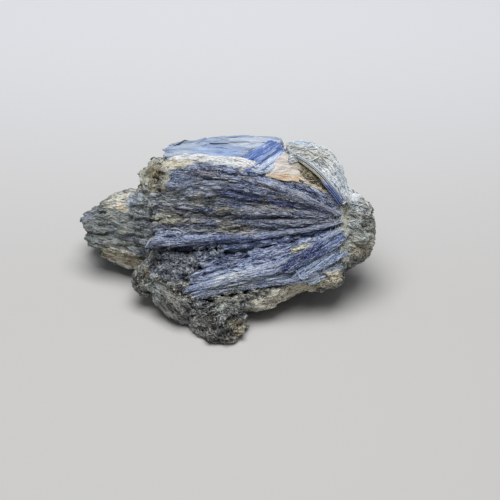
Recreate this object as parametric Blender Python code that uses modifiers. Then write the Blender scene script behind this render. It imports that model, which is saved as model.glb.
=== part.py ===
"""Kyanite blade cluster: sprays of kyanite blades grown together on a mica schist matrix.

The part is in metres, +Z up, with its origin in the middle of its box's underside. Its broad face leans back
from upright, so most shapes are set out in face coordinates: to the right along +X, up the leaning face, and
out of it. Lengths in face and spray coordinates are millimetres, and face_point and world_point make them metres.
"""

import math
import random

import bmesh
import bpy
from mathutils import Matrix, Vector, noise

MM = 0.001

# ---- driving dimensions
FACE_LEAN = math.radians(38)  # how far the broad face leans back from upright
FACE_CENTRE = (0.8, -4.8, 24.3)  # the middle of the face, in the part's frame
GAP = 0.3  # between neighbouring solids

SPRAY_ROOT = (38.5, 7.5)  # where the main spray's blades converge: right and up
SPRAY_FLARE = 24.0  # distance over which the spray opens
SPRAY_LENGTH = 64.0
SPRAY_TOP = 20.6  # the spray's half-widths where it is fully open
SPRAY_FOOT = 20.0
SPRAY_DEPTH = 13.0
RIDGE_ACROSS = -8.0  # the proud ridge that runs across the main spray

RIGHT = Vector((1, 0, 0))
UP = Vector((0, math.sin(FACE_LEAN), math.cos(FACE_LEAN)))
OUT = Vector((0, -math.cos(FACE_LEAN), math.sin(FACE_LEAN)))
SKYWARD = Vector((0, -0.2, 0.98))  # square to the nearly level top

FINISHES = {  # base colour, roughness
    "mica_matrix": ((0.16, 0.16, 0.14), 0.7),
    "main_blade_spray": ((0.09, 0.12, 0.22), 0.45),
    "lower_blade_spray": ((0.17, 0.25, 0.50), 0.4),
    "top_pale_blades": ((0.28, 0.40, 0.62), 0.35),
    "top_royal_blades": ((0.05, 0.12, 0.42), 0.3),
    "feldspar_grain": ((0.62, 0.52, 0.42), 0.4),
    "crest_blade_spray": ((0.40, 0.48, 0.56), 0.4),
    "left_blade_bundle": ((0.14, 0.18, 0.19), 0.55),
}


# ---- coordinates
def world_point(x, y, z):
    return Vector((x, y, z)) * MM


def face_point(right, up, out):
    return (Vector(FACE_CENTRE) + right * RIGHT + up * UP + out * OUT) * MM


def spray_point(along, across, depth):
    """A point of the main spray: along its blades from the root, across them, and out of the face."""
    opening = 1 - math.exp(-max(along + 2, 0.6) / SPRAY_FLARE)
    return face_point(SPRAY_ROOT[0] - along, SPRAY_ROOT[1] + across * opening, depth)


def between(ends, share):
    return ends[0] + (ends[1] - ends[0]) * share


def path_point(knots, share):
    """A smooth curve through knots, carried on straight past its ends."""
    spans = len(knots) - 1
    place = min(max(share, 0.0), 1.0) * spans
    i = min(int(place), spans - 1)
    t = place - i
    a, b, c, d = (knots[min(max(i + k, 0), spans)] for k in (-1, 0, 1, 2))
    curve = b + 0.5 * t * (c - a + t * (2 * a - 5 * b + 4 * c - d + t * (3 * (b - c) + d - a)))
    past = share - min(max(share, 0.0), 1.0)
    if past:
        end = (knots[1] - knots[0]) if past < 0 else (knots[-1] - knots[-2])
        curve = curve + end * spans * past
    return curve


def path_warp(knots, depth_axis=None, across_axis=None):
    """Coordinates round a path: share along it, across it, and in depth, one of whose axes is fixed."""
    def warp(share, across, depth):
        here = path_point(knots, share)
        tangent = (path_point(knots, share + 0.02) - path_point(knots, share - 0.02)).normalized()
        if depth_axis:
            side = depth_axis.cross(tangent).normalized()
            out = tangent.cross(side)
        else:
            side = across_axis
            out = tangent.cross(side).normalized()
        return here + (side * across + out * depth) * MM

    return warp


# ---- making and joining
def new_object(name, bm, helpers, grow=0.0):
    """Makes a closed bmesh an object, facing out, with every face moved out by grow millimetres."""
    bmesh.ops.recalc_face_normals(bm, faces=bm.faces)
    if bm.calc_volume(signed=True) < 0:
        bmesh.ops.reverse_faces(bm, faces=bm.faces)
    bm.normal_update()
    moves = [vert.normal * vert.calc_shell_factor() * grow * MM for vert in bm.verts]
    for vert, move in zip(bm.verts, moves):
        vert.co += move
    mesh = bpy.data.meshes.new(name)
    bm.to_mesh(mesh)
    bm.free()
    obj = bpy.data.objects.new(name, mesh)
    helpers.objects.link(obj)
    obj.hide_render = True
    obj.display_type = "WIRE"
    return obj


def blade(helpers, warp, along, across, depth, cuts=4, slant=0.0, tip=1.0, grow=0.0):
    """A blade set out by warp. Its far end is slanted, and narrows to the share tip over its last part."""
    bm = bmesh.new()
    bmesh.ops.create_cube(bm, size=1.0)
    lengthwise = [e for e in bm.edges if abs(e.verts[0].co.x - e.verts[1].co.x) > 0.5]
    bmesh.ops.subdivide_edges(bm, edges=lengthwise, cuts=cuts, use_grid_fill=True)
    for vert in bm.verts:
        x, y, z = vert.co + Vector((0.5, 0.5, 0.5))
        narrowing = 1 - (1 - tip) * x**3
        y_mid = 0.5 + (y - 0.5) * narrowing
        shift = slant * (y - 0.5) * x**3
        vert.co = warp(between(along, x) + shift, between(across, y_mid), between(depth, z))
    return new_object("blade", bm, helpers, grow)


def prism(helpers, outline, depth, grow=0.0):
    """A flat-faced grain: an outline in the face's plane, between two depths."""
    bm = bmesh.new()
    base = bm.faces.new([bm.verts.new(face_point(*point, depth[0])) for point in outline])
    raised = bmesh.ops.extrude_face_region(bm, geom=[base])["geom"]
    moved = [v for v in raised if isinstance(v, bmesh.types.BMVert)]
    bmesh.ops.translate(bm, verts=moved, vec=OUT * (depth[1] - depth[0]) * MM)
    return new_object("grain", bm, helpers, grow)


def modified(obj, kind, **settings):
    modifier = obj.modifiers.new(kind, kind)
    for key, value in settings.items():
        setattr(modifier, key, value)
    return modifier


def bake_modifiers(obj):
    graph = bpy.context.evaluated_depsgraph_get()
    graph.update()
    mesh = bpy.data.meshes.new_from_object(obj.evaluated_get(graph))
    obj.modifiers.clear()
    obj.data = mesh


def largest_body(obj):
    """Keeps the largest connected body and drops the crumbs that a cut left."""
    bm = bmesh.new()
    bm.from_mesh(obj.data)
    bmesh.ops.triangulate(bm, faces=bm.faces)
    left, bodies = set(bm.verts), []
    while left:
        body, edge = set(), [left.pop()]
        while edge:
            vert = edge.pop()
            body.add(vert)
            for link in vert.link_edges:
                other = link.other_vert(vert)
                if other in left:
                    left.discard(other)
                    edge.append(other)
        bodies.append(body)
    bodies.sort(key=len)
    crumbs = [v for body in bodies[:-1] for v in body]
    bmesh.ops.delete(bm, geom=crumbs, context="VERTS")
    bm.to_mesh(obj.data)
    bm.free()


def apply_boolean(obj, others, operation, helpers, solver):
    group = bpy.data.collections.new(obj.name + "_" + operation)
    helpers.children.link(group)
    for other in others:
        group.objects.link(other)
    modified(obj, "BOOLEAN", operation=operation, operand_type="COLLECTION", collection=group, solver=solver)
    bake_modifiers(obj)


def fused(name, pieces, cutters, helpers, solver="EXACT"):
    """One solid: the union of pieces, less the cutters."""
    obj = pieces[0]
    obj.name = name
    if len(pieces) > 1:
        apply_boolean(obj, pieces[1:], "UNION", helpers, solver)
    for cutter in cutters:
        apply_boolean(obj, [cutter], "DIFFERENCE", helpers, solver)
    largest_body(obj)
    return obj


def hull_seat(obj, helpers):
    """A closed convex cover round obj, clear of it by the gap or more."""
    bm = bmesh.new()
    bm.from_mesh(obj.data)
    hull = bmesh.ops.convex_hull(bm, input=bm.verts)
    inner = [v for v in hull["geom_interior"] if isinstance(v, bmesh.types.BMVert)]
    bmesh.ops.delete(bm, geom=inner, context="VERTS")
    on_hull = {f for f in hull["geom"] if isinstance(f, bmesh.types.BMFace)}
    bmesh.ops.delete(bm, geom=[f for f in bm.faces if f not in on_hull], context="FACES_ONLY")
    centre = sum((v.co for v in bm.verts), Vector()) / len(bm.verts)
    nearest = min((f.calc_center_median() - centre).dot(f.normal) for f in bm.faces)
    bmesh.ops.scale(bm, verts=bm.verts, vec=Vector((1, 1, 1)) * (1 + 1.3 * GAP * MM / abs(nearest)),
                    space=Matrix.Translation(-centre))
    return new_object("hull_seat", bm, helpers)


# ---- the main spray
def ridge_height(across):
    """How far the main spray's front stands out, by the place across it."""
    if across > 13:
        return 1.2
    if abs(across - RIDGE_ACROSS) < 1.6:
        return 2.2
    if across < RIDGE_ACROSS:
        return -3.0
    return -0.4


def main_spray_blades(helpers, grow=0.0):
    draw = random.Random(5)
    blades = []
    across = -SPRAY_FOOT
    while across < SPRAY_TOP - 1:
        width = draw.uniform(2.0, 3.4)
        top = min(across + width, SPRAY_TOP)
        middle = (across + top) / 2
        far = SPRAY_LENGTH - 6 * max(middle - 8, 0) / 13 + draw.uniform(-2.5, 2)
        if middle < RIDGE_ACROSS - 2:
            far = 42 + draw.uniform(-6, 4)
        front = ridge_height(middle) + draw.uniform(-1.0, 1.0)
        sides = (across - draw.uniform(0.2, 0.5), top + draw.uniform(0.2, 0.5))
        back = -SPRAY_DEPTH + 5 * (middle / SPRAY_TOP) ** 2 + draw.uniform(-1.5, 1.5)
        blades.append(blade(helpers, spray_point, (draw.uniform(-1, 1), far), sides, (back, front),
                            slant=draw.uniform(-2, 2), grow=grow))
        start = draw.uniform(6, 30)
        narrow = (middle - width * draw.uniform(0.2, 0.45), middle + width * draw.uniform(0.2, 0.45))
        blades.append(blade(helpers, spray_point, (start, far - draw.uniform(-1.5, 12)), narrow,
                            (front - 5, front + draw.uniform(0.6, 1.3)), cuts=3, tip=draw.uniform(0.4, 0.9),
                            grow=grow))
        across = top
    return blades


def main_spray_seats(helpers):
    upper = blade(helpers, spray_point, (-2.5, SPRAY_LENGTH + 3.5), (RIDGE_ACROSS - 4.2, SPRAY_TOP + 0.6),
                  (-SPRAY_DEPTH - 1.6, 7), cuts=8, grow=GAP)
    lower = blade(helpers, spray_point, (-2.4, 47), (-SPRAY_FOOT - 0.6, RIDGE_ACROSS - 1.5),
                  (-SPRAY_DEPTH - 1.7, 6.5), cuts=6, grow=GAP)
    return [upper, lower]


def open_face(helpers):
    """What the matrix must leave bare in front of the main spray."""
    return blade(helpers, spray_point, (5, SPRAY_LENGTH - 2), (RIDGE_ACROSS - 1.5, SPRAY_TOP - 1), (-2.5, 14), cuts=8)


# ---- the blades across the front of the foot
LOWER_BLADES = (  # knots (right, up, out), half-width, thickness, share left at the tip
    (((38.5, 4.0, 1.0), (26.5, -4.6, 3.4), (14.7, -8.8, 4.4), (1.3, -12.0, 4.4), (-15.0, -16.4, 3.2)), 2.0, 7, 0.25),
    (((34.5, -10.0, 1.0), (15.0, -12.9, 3.2), (1.0, -15.0, 3.4), (-12.5, -18.2, 2.6)), 1.7, 7, 0.4),
    (((37.6, 2.4, 2.4), (29.5, -2.9, 4.6), (20.5, -8.6, 4.8)), 2.0, 7, 0.5),
    (((38.5, -2.0, 1.2), (31.5, -6.6, 3.2), (24.0, -10.9, 3.8)), 2.1, 7, 0.6),
    (((38.0, -6.0, -0.5), (33.0, -9.4, 1.4), (27.5, -12.8, 2.2)), 1.9, 6, 0.7),
    (((31.5, 1.2, 0.6), (24.0, -3.4, 1.8), (16.0, -7.0, 2.0)), 1.6, 5, 0.5),
    (((12.0, -10.9, 1.0), (0.0, -13.6, 1.6), (-11.0, -17.0, 1.0)), 2.6, 6, 0.6),
)


def lower_spray_blades(helpers, grow=0.0):
    blades = []
    for knots, half_width, thickness, tip in LOWER_BLADES:
        warp = path_warp([face_point(*knot) for knot in knots], depth_axis=OUT)
        blades.append(blade(helpers, warp, (0, 1), (-half_width, half_width), (-thickness, 0), cuts=6,
                            tip=tip, grow=grow))
    return blades


# ---- the blades on the level top
PALE_BLADES = (  # knots (right, up, out), half-width, thickness
    (((-21.5, 30.6, -2.5), (-8.0, 30.4, -2.0), (6.0, 30.0, -2.0)), 3.0, 3.4),
    (((-20.0, 31.2, -6.0), (-6.0, 33.0, -6.5), (12.0, 33.2, -7.0)), 3.6, 3.6),
    (((-15.5, 31.8, -10.5), (0.0, 34.4, -11.0), (17.0, 33.8, -11.5)), 3.4, 4.0),
    (((-20.0, 29.2, -1.0), (-13.0, 30.0, -0.6), (-4.0, 28.4, -0.4)), 1.8, 2.6),
)
ROYAL_BLADES = (
    (((3.0, 26.6, 1.2), (8.0, 30.0, -1.2), (14.6, 34.4, -6.6)), 1.5, 2.4),
    (((5.2, 25.2, 1.6), (10.4, 28.8, -0.6), (16.8, 33.6, -6.6)), 1.7, 2.8),
    (((8.4, 24.6, 1.4), (13.0, 27.4, -0.6), (18.4, 31.4, -5.2)), 1.4, 2.2),
)


def top_blades(table, helpers, grow=0.0):
    blades = []
    for knots, half_width, thickness in table:
        warp = path_warp([face_point(*knot) for knot in knots], depth_axis=SKYWARD)
        blades.append(blade(helpers, warp, (0, 1), (-half_width, half_width), (-thickness, 0), cuts=4,
                            slant=0.06, tip=0.85, grow=grow))
    return blades


# ---- the feldspar grain
GRAIN_OUTLINE = ((12.0, 22.4), (13.0, 25.6), (18.6, 30.4), (21.0, 30.0), (24.6, 25.8), (23.6, 20.4), (17.0, 21.0))
GRAIN_DEPTH = (-9.0, 0.2)


# ---- the right shoulder
CREST_ROWS = 8
CREST_DEPTH = (-18.0, 0.5)


CREST_ARCH = ((20.5, 34.2), (29.6, 33.4), (36.8, 27.6), (40.2, 18.6), (41.6, 8.6))  # right and up
CREST_THICKNESS = 6.5
CREST_EDGE = ((25.4, 27.8, -1.0), (31.4, 23.0, 0.4), (35.4, 18.4, 1.2), (38.2, 12.4, 1.4))


def crest_blades(helpers, grow=0.0):
    draw = random.Random(11)
    pitch = (CREST_DEPTH[1] - CREST_DEPTH[0]) / CREST_ROWS
    blades = []
    for row in range(CREST_ROWS):
        out = CREST_DEPTH[1] - pitch * (row + 0.5)
        lift = draw.uniform(-0.8, 0.6) - 1.2 * (row == 0) - 0.06 * row**2
        knots = [face_point(right + lift * i / 4, up + lift * (4 - i) / 4, out)
                 for i, (right, up) in enumerate(CREST_ARCH)]
        knots[0] -= RIGHT * draw.uniform(-1, 2) * MM
        knots[-1] += UP * draw.uniform(-2, 3) * MM
        warp = path_warp(knots, across_axis=OUT)
        blades.append(blade(helpers, warp, (0, 1), (-pitch * 0.6, pitch * 0.6), (0, CREST_THICKNESS), cuts=8,
                            tip=0.8, grow=grow))
    warp = path_warp([face_point(*knot) for knot in CREST_EDGE], depth_axis=OUT)
    return blades + [blade(helpers, warp, (0, 1), (-1.5, 1.5), (-5, 0.6), cuts=5, tip=0.8, grow=grow)]


# ---- the left lobe
def left_bundle_blades(helpers):
    draw = random.Random(23)
    blades = []
    core = path_warp([face_point(-20, 2.5, -22), face_point(-34, 4, -23), face_point(-47, 5.2, -24)], depth_axis=OUT)
    blades.append(blade(helpers, core, (0, 1), (-8.5, 8.5), (-9, 8), cuts=4, tip=0.55))
    count = 20
    for k in range(count):
        turn = 2 * math.pi * k / count
        up = 4.8 + 11.9 * math.sin(turn) + draw.uniform(-0.7, 0.7)
        out = -23.5 + 9.5 * math.cos(turn) + draw.uniform(-0.8, 0.8)
        reach = -51.6 + 6.5 * math.sin(turn) ** 2 + draw.uniform(-0.6, 1.4)
        inward = 0.62
        knots = [(-20, 3.2 + (up - 4.8) * 0.95, out), (-35, up, out),
                 (reach, 5.0 + (up - 4.8) * inward, -23.5 + (out + 23.5) * inward)]
        warp = path_warp([face_point(*knot) for knot in knots], depth_axis=OUT)
        blades.append(blade(helpers, warp, (0, 1), (-2.2, 2.2), (-2.4, 2.4), cuts=3, slant=draw.uniform(-0.08, 0.08),
                            tip=draw.uniform(0.5, 0.9)))
    return blades


# ---- the matrix
FACE_LUMPS = {  # centre (right, up, out) and half-sizes
    "foot": ((-2.6, -25.5, -2.5), (9.6, 9.0, 9.0)),
    "toe": ((-1.0, -29.8, 2.6), (7.2, 5.6, 6.2)),
    "shin": ((-12.5, -18.0, -5.5), (14.0, 8.6, 9.5)),
    "rim_left": ((10.0, -17.8, -4.0), (11.0, 5.8, 7.5)),
    "rim_middle": ((21.0, -13.8, -4.5), (11.0, 5.6, 7.5)),
    "rim_right": ((32.0, -10.2, -5.0), (9.5, 5.8, 7.5)),
    "rough_field": ((-14.0, -8.0, -9.0), (14.5, 10.0, 9.0)),
    "left_block": ((-26.0, -11.5, -7.5), (7.6, 6.8, 7.5)),
    "left_wall": ((-21.0, 3.0, -12.0), (8.0, 14.0, 9.0)),
    "belly": ((8.0, -3.5, -14.0), (32.0, 11.0, 10.0)),
    "cap": ((43.3, 5.7, -7.0), (6.9, 11.2, 9.5)),
    "cap_foot": ((40.0, -2.5, -6.5), (8.0, 7.8, 8.0)),
    "knob": ((-22.8, 21.4, -7.5), (8.4, 7.6, 7.5)),
    "crust": ((-4.0, 26.5, -6.5), (19.0, 3.8, 6.5)),
    "collar": ((30.0, 19.5, -9.0), (8.5, 8.5, 7.5)),
}
WORLD_LUMPS = {  # centre and half-sizes in the part's frame
    "back": ((2.8, 12.7, 24.5), (37, 17.5, 19)),
    "rear_left": ((-19.2, 15.7, 14.0), (18, 14, 14.6)),
    "rear_right": ((23.8, 13.7, 14.0), (20, 14, 14.9)),
    "rear_shoulder": ((22.8, 18.7, 29), (17, 12, 13)),
    "rear_top": ((-5.2, 20.2, 35), (21, 10.0, 9.0)),
}
PITS = (  # centre (right, up, out), radius, depth
    ((-22.4, 22.9, -1.5), 4.0, 2.6),
    ((27.5, 22.0, -4.0), 4.0, 3.0),
    ((-8.5, -18.8, 3.0), 3.0, 2.0),
)


def weathered(obj, cell, depth):
    """Breaks a smooth body into blocky lumps: creases where cells of noise meet, and small knocks."""
    bm = bmesh.new()
    bm.from_mesh(obj.data)
    bm.normal_update()
    moves = []
    for vert in bm.verts:
        place = vert.co / MM
        near, _ = noise.voronoi(place / cell)
        crease = max(0.0, 1 - (near[1] - near[0]) * 3.2)
        lump = noise.noise(place / (cell * 2.3)) * 1.6 + noise.noise(place / 2.4) * 0.5
        push = lump - depth * crease
        for pit, radius, hollow in PITS:
            away = (place - face_point(*pit) / MM).length
            push -= hollow * math.exp(-((away / radius) ** 2))
        moves.append(vert.normal * push * MM)
    for vert, move in zip(bm.verts, moves):
        vert.co += move
    bm.to_mesh(obj.data)
    bm.free()


def matrix_body(helpers):
    bm = bmesh.new()
    tilt = Matrix((RIGHT, UP, OUT)).transposed().to_4x4()
    places = [(Matrix.Translation(face_point(*centre)) @ tilt, half) for centre, half in FACE_LUMPS.values()]
    places += [(Matrix.Translation(world_point(*centre)), half) for centre, half in WORLD_LUMPS.values()]
    draw = random.Random(31)
    for place, half in places:
        turned = Matrix.Rotation(draw.uniform(0, 3), 4, (draw.uniform(-1, 1), draw.uniform(-1, 1), 1))
        ball = bmesh.ops.create_icosphere(bm, subdivisions=2, radius=1.06, matrix=turned)
        for vert in ball["verts"]:
            vert.co *= draw.uniform(0.93, 1.07)
        bmesh.ops.transform(bm, verts=ball["verts"], matrix=place @ Matrix.Diagonal((*(Vector(half) * MM), 1)))
    body = new_object("mica_matrix", bm, helpers)
    modified(body, "REMESH", mode="VOXEL", voxel_size=0.9 * MM)
    bake_modifiers(body)
    weathered(body, 6.5, 1.3)
    modified(body, "DECIMATE", ratio=0.036)
    bake_modifiers(body)
    return body


def underside_cutter(helpers):
    bm = bmesh.new()
    place = Matrix.Translation(world_point(0, 0, -20)) @ Matrix.Diagonal((0.2, 0.2, 0.04, 1))
    bmesh.ops.create_cube(bm, size=1.0, matrix=place)
    return new_object("floor_cut", bm, helpers)


# ---- assembly
def finish(obj, part):
    colour, roughness = FINISHES[obj.name]
    material = bpy.data.materials.new(obj.name)
    material.use_nodes = True
    shader = material.node_tree.nodes["Principled BSDF"]
    shader.inputs["Base Color"].default_value = (*colour, 1)
    shader.inputs["Roughness"].default_value = roughness
    obj.data.materials.clear()
    obj.data.materials.append(material)
    for collection in list(obj.users_collection):
        collection.objects.unlink(obj)
    part.objects.link(obj)
    obj.hide_render = False
    obj.display_type = "TEXTURED"


def main():
    for obj in list(bpy.data.objects):
        bpy.data.objects.remove(obj)
    part = bpy.data.collections.new("kyanite_blade_cluster")
    helpers = bpy.data.collections.new("cutters")
    for collection in (part, helpers):
        bpy.context.scene.collection.children.link(collection)
    helpers.hide_render = True

    lower = fused("lower_blade_spray", lower_spray_blades(helpers), [], helpers)
    lower_seats = lower_spray_blades(helpers, GAP)
    main_spray = fused("main_blade_spray", main_spray_blades(helpers), lower_seats, helpers)
    main_seats = main_spray_seats(helpers)

    royal = fused("top_royal_blades", top_blades(ROYAL_BLADES, helpers), [main_seats[0]], helpers)
    royal_seats = top_blades(ROYAL_BLADES, helpers, GAP)
    pale = fused("top_pale_blades", top_blades(PALE_BLADES, helpers), [main_seats[0]] + royal_seats, helpers)
    pale_seats = top_blades(PALE_BLADES, helpers, GAP)
    grain = fused("feldspar_grain", [prism(helpers, GRAIN_OUTLINE, GRAIN_DEPTH)],
                  [main_seats[0]] + royal_seats + pale_seats, helpers)
    grain_seat = prism(helpers, GRAIN_OUTLINE, GRAIN_DEPTH, GAP)
    crest = fused("crest_blade_spray", crest_blades(helpers),
                  [main_seats[0]] + royal_seats + pale_seats + [grain_seat], helpers, "MANIFOLD")
    floor_cut = underside_cutter(helpers)
    bundle = fused("left_blade_bundle", left_bundle_blades(helpers), [*main_seats, floor_cut], helpers)
    solids = [lower, main_spray, royal, pale, grain, crest, bundle]

    body = matrix_body(helpers)
    matrix = fused("mica_matrix", [body], [floor_cut, open_face(helpers), *main_spray_blades(helpers, GAP), *lower_seats, *royal_seats, *pale_seats,
                                           grain_seat, *crest_blades(helpers, GAP), hull_seat(bundle, helpers)], helpers, "MANIFOLD")
    solids.append(matrix)
    for obj in solids:
        finish(obj, part)


main()
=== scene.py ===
import math

import bmesh
import bpy
import numpy as np
from mathutils import Matrix, noise
from mathutils.bvhtree import BVHTree


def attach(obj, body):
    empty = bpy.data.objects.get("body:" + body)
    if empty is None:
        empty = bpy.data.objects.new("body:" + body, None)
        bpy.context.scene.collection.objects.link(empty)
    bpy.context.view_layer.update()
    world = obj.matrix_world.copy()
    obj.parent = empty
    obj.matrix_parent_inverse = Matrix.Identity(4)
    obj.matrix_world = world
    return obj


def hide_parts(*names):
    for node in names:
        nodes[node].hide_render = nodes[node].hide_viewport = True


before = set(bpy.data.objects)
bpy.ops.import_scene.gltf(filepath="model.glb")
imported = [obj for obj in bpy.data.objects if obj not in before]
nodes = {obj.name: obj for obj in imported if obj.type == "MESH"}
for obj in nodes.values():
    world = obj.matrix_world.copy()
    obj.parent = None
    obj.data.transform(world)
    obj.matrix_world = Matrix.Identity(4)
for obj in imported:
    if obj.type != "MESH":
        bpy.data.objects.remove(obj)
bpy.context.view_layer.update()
mm = 0.001

# The broad face leans back. Shapes are set out on it in mm: to the right, up the face and out of it.
faceLean = math.radians(38)
faceCentre = np.array((0.8, -4.8, 24.3))
leanSine, leanCosine = math.sin(faceLean), math.cos(faceLean)
faceAxes = np.array(((1, 0, 0), (0, leanSine, leanCosine), (0, -leanCosine, leanSine)))
litGain = 1.45  # a surface is this much lighter than it looks on the lit face
lightest = 0.86


def toWorld(places):
    return (faceCentre + np.asarray(places) @ faceAxes) * mm


def toFace(points):
    return (np.asarray(points) / mm - faceCentre) @ faceAxes.T


def unitLength(vectors):
    return vectors / np.maximum(np.linalg.norm(vectors, axis=-1, keepdims=True), 1e-9)


def rgb(colour):  # a colour as the eye sees it on the lit face, made a linear surface colour
    return np.minimum(((np.array(colour) / 255 + 0.055) / 1.055) ** 2.4 * litGain, lightest)


def lumps(places, size, seed):  # smooth noise from -1 to 1, in lumps of this size
    return np.array([noise.noise(place) for place in (places / np.array(size) + seed).tolist()])


def relief(places, layers):  # heights from layers of lumps: weight, size, seed, and where the ridged ones are cut
    heights = np.zeros(len(places))
    for weight, size, seed, *cut in layers:
        layer = lumps(places, size, seed)
        heights += weight * (np.minimum(np.abs(layer), cut[0]) if cut else layer)
    return heights


def lot(numbers):  # a steady draw from 0 to 1 for each row of whole numbers
    mixed = np.sin(np.asarray(numbers) @ (12.9898, 78.233, 37.719)) * 43758.5453
    return mixed - np.floor(mixed)


def crystals(places, size):  # for each place: its distance from the border of its crystal, and the crystal's own draw
    found = [noise.voronoi(place) for place in (places / np.array(size)).tolist()]
    border = np.array([near[1] - near[0] for near, _ in found])
    return border, lot([np.round(np.array(spots[0]) * 97) for _, spots in found])


def capsule(places, start, end, radius):  # 0 on the line from start to end, 1 at the radius; depth counts half
    run = np.subtract(end, start)
    share = np.clip(((places - start) @ run) / max(run @ run, 1e-9), 0, 1)
    return np.linalg.norm((places - start - share[:, None] * run) * (1, 1, 0.5), axis=1) / radius


# Shader expressions: sums on a wire add Math nodes, and everything else goes through the finish's node method
class Wire:
    def __init__(self, finish, socket):
        self.finish = finish
        self.socket = socket

    def calc(self, operation, other):
        return self.finish.node("Math", {"operation": operation}, {0: self, 1: other}, "Value")

    def __add__(self, other):
        return self.calc("ADD", other)

    def __mul__(self, other):
        return self.calc("MULTIPLY", other)

    def __sub__(self, other):
        return self.calc("SUBTRACT", other)

    def __rsub__(self, other):
        return self * -1 + other

    __radd__ = __add__
    __rmul__ = __mul__


class Finish:
    def __init__(self, name):
        self.material = bpy.data.materials.new(name)
        self.material.use_nodes = True
        self.tree = self.material.node_tree

    def node(self, kind, settings, inputs, output):
        made = self.tree.nodes.new("ShaderNode" + kind)
        for key, value in settings.items():
            setattr(made, key, value)
        for key, value in inputs.items():
            self.feed(made.inputs[key], value)
        return Wire(self, made.outputs[output])

    def feed(self, socket, value):
        if isinstance(value, Wire):
            self.tree.links.new(value.socket, socket)
        else:
            socket.default_value = value

    def carried(self, name, output):  # an attribute of the piece's own mesh
        return self.node("Attribute", {"attribute_name": name}, {}, output)

    def scaled(self, vector, factors):
        return self.node("VectorMath", {"operation": "MULTIPLY"}, {0: vector, 1: factors}, "Vector")

    def cloud(self, vector, factors, detail=2, rough=0.5, warp=0):
        inputs = {"Scale": 1, "Detail": detail, "Roughness": rough, "Distortion": warp}
        return self.node("TexNoise", {}, {"Vector": self.scaled(vector, factors), **inputs}, "Fac")

    def between(self, value, low, high):  # 0 at low, 1 at high, smooth between
        inputs = {"Value": value, "From Min": low, "From Max": high}
        return self.node("MapRange", {"interpolation_type": "SMOOTHSTEP"}, inputs, "Result")

    def blend(self, share, first, second, how="MIX"):
        # a Mix node's sockets for colours: 0 is the factor, 6 and 7 the colours, and its third output is a colour
        return self.node("Mix", {"data_type": "RGBA", "blend_type": how}, {0: share, 6: first, 7: second}, 2)

    def settle(self, colour, roughness, height=None, strength=0):
        inputs = {"Base Color": colour, "Roughness": roughness}
        if height:
            bump = {"Strength": strength, "Distance": 0.7 * mm, "Height": height}
            inputs["Normal"] = self.node("Bump", {}, bump, "Normal")
        for key, value in inputs.items():
            self.feed(self.tree.nodes["Principled BSDF"].inputs[key], value)
        return self.material


kyaniteLook = {
    "streak": (0.07, 1.2, 1.2),  # per mm: along the fibres, across them and in depth
    "hair": (0.3, 3.2, 3.2),
    "speck": (1.7, 2.1, 2.1),
    "shares": (0.15, 0.27, 0.58),
    "contrast": 5.2,
    "dark": (0.23, 0.265, 0.34),  # what the gaps keep of the colour: dark grain and painted shade
    # the pale of light grain specks and of painted highlights
    "pale": (174, 179, 188),
    "paleShare": 0.5,
    "roughness": (0.36, 0.6),
    "relief": 0.7,
}


def kyaniteFinish(slot, name, **changes):
    look = {**kyaniteLook, **changes}
    finish = Finish(name)
    grain = finish.carried("grain", "Vector")
    base = finish.carried("stain", "Color")
    streak = finish.cloud(grain, look["streak"], detail=3, warp=0.3)
    hair = finish.cloud(grain, look["hair"])
    speck = finish.cloud(grain, look["speck"], detail=3, rough=0.6)
    fine = streak * look["shares"][0] + hair * look["shares"][1] + speck * look["shares"][2]
    toneAndShade = (fine - 0.5) * look["contrast"] + finish.carried("tintAndShade", "Fac")
    # Where the tone is low the colour darkens to dark grain and painted shade in the gaps; where it is high it pales to
    # light specks and painted highlight
    gaps = finish.blend(1, base, (*look["dark"], 1), "MULTIPLY")
    lit = finish.blend(look["paleShare"], base, (*rgb(look["pale"]), 1))
    body = finish.blend(finish.between(toneAndShade, 0.08, 0.46), gaps, base)
    colour = finish.blend(finish.between(toneAndShade, 0.56, 0.95), body, lit)
    low, high = look["roughness"]
    return slot, finish.settle(colour, streak * (high - low) + low, fine, look["relief"])


schistLook = {
    "cell": 1.6,  # crystals per mm
    "fine": (1.7, 1.7, 1.7),
    "broad": (0.16, 0.16, 0.16),
    "contrast": 4.4,
    # the dark of the gaps and the pale of the flecks: grain, with painted shade and painted highlight from the tint
    "dark": (0.14, 0.14, 0.14),
    "pale": (182, 186, 182),
    "ochre": (160, 132, 86),
}


def schistFinish(slot, name, **changes):
    look = {**schistLook, **changes}
    finish = Finish(name)
    place = finish.scaled(finish.node("TexCoord", {}, {}, "Object"), (1 / mm, 1 / mm, 1 / mm))
    base = finish.carried("stain", "Color")
    drift = finish.node("TexNoise", {}, {"Vector": place, "Scale": 0.9, "Detail": 2}, "Color")
    bend = {0: drift, 1: (1.8, 1.8, 1.8), 2: place}
    bent = finish.node("VectorMath", {"operation": "MULTIPLY_ADD"}, bend, "Vector")
    cells = finish.node("TexVoronoi", {}, {"Vector": bent, "Scale": look["cell"]}, "Color")
    pick, kind = (finish.node("SeparateColor", {}, {"Color": cells}, channel) for channel in ("Red", "Green"))
    soft = finish.cloud(place, look["fine"], detail=3, rough=0.6, warp=1.4)
    fine = pick * 0.3 + soft * 0.7
    toneAndShade = (fine - 0.5) * look["contrast"] + finish.carried("tintAndShade", "Fac")
    # Low tone darkens to dark grain and painted shade, high tone takes pale mica flecks and painted highlight
    gaps = finish.blend(1, base, (*look["dark"], 1), "MULTIPLY")
    body = finish.blend(finish.between(toneAndShade, 0.05, 0.45), gaps, base)
    flecked = finish.blend(finish.between(toneAndShade, 0.58, 1) * 0.6, body, (*rgb(look["pale"]), 1))
    rusty = finish.between(kind, 0.82, 0.95) * finish.between(finish.cloud(place, look["broad"]), 0.52, 0.7) * 0.5
    colour = finish.blend(rusty, flecked, (*rgb(look["ochre"]), 1))
    return slot, finish.settle(colour, soft * 0.3 + 0.42, fine, 0.7)


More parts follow.
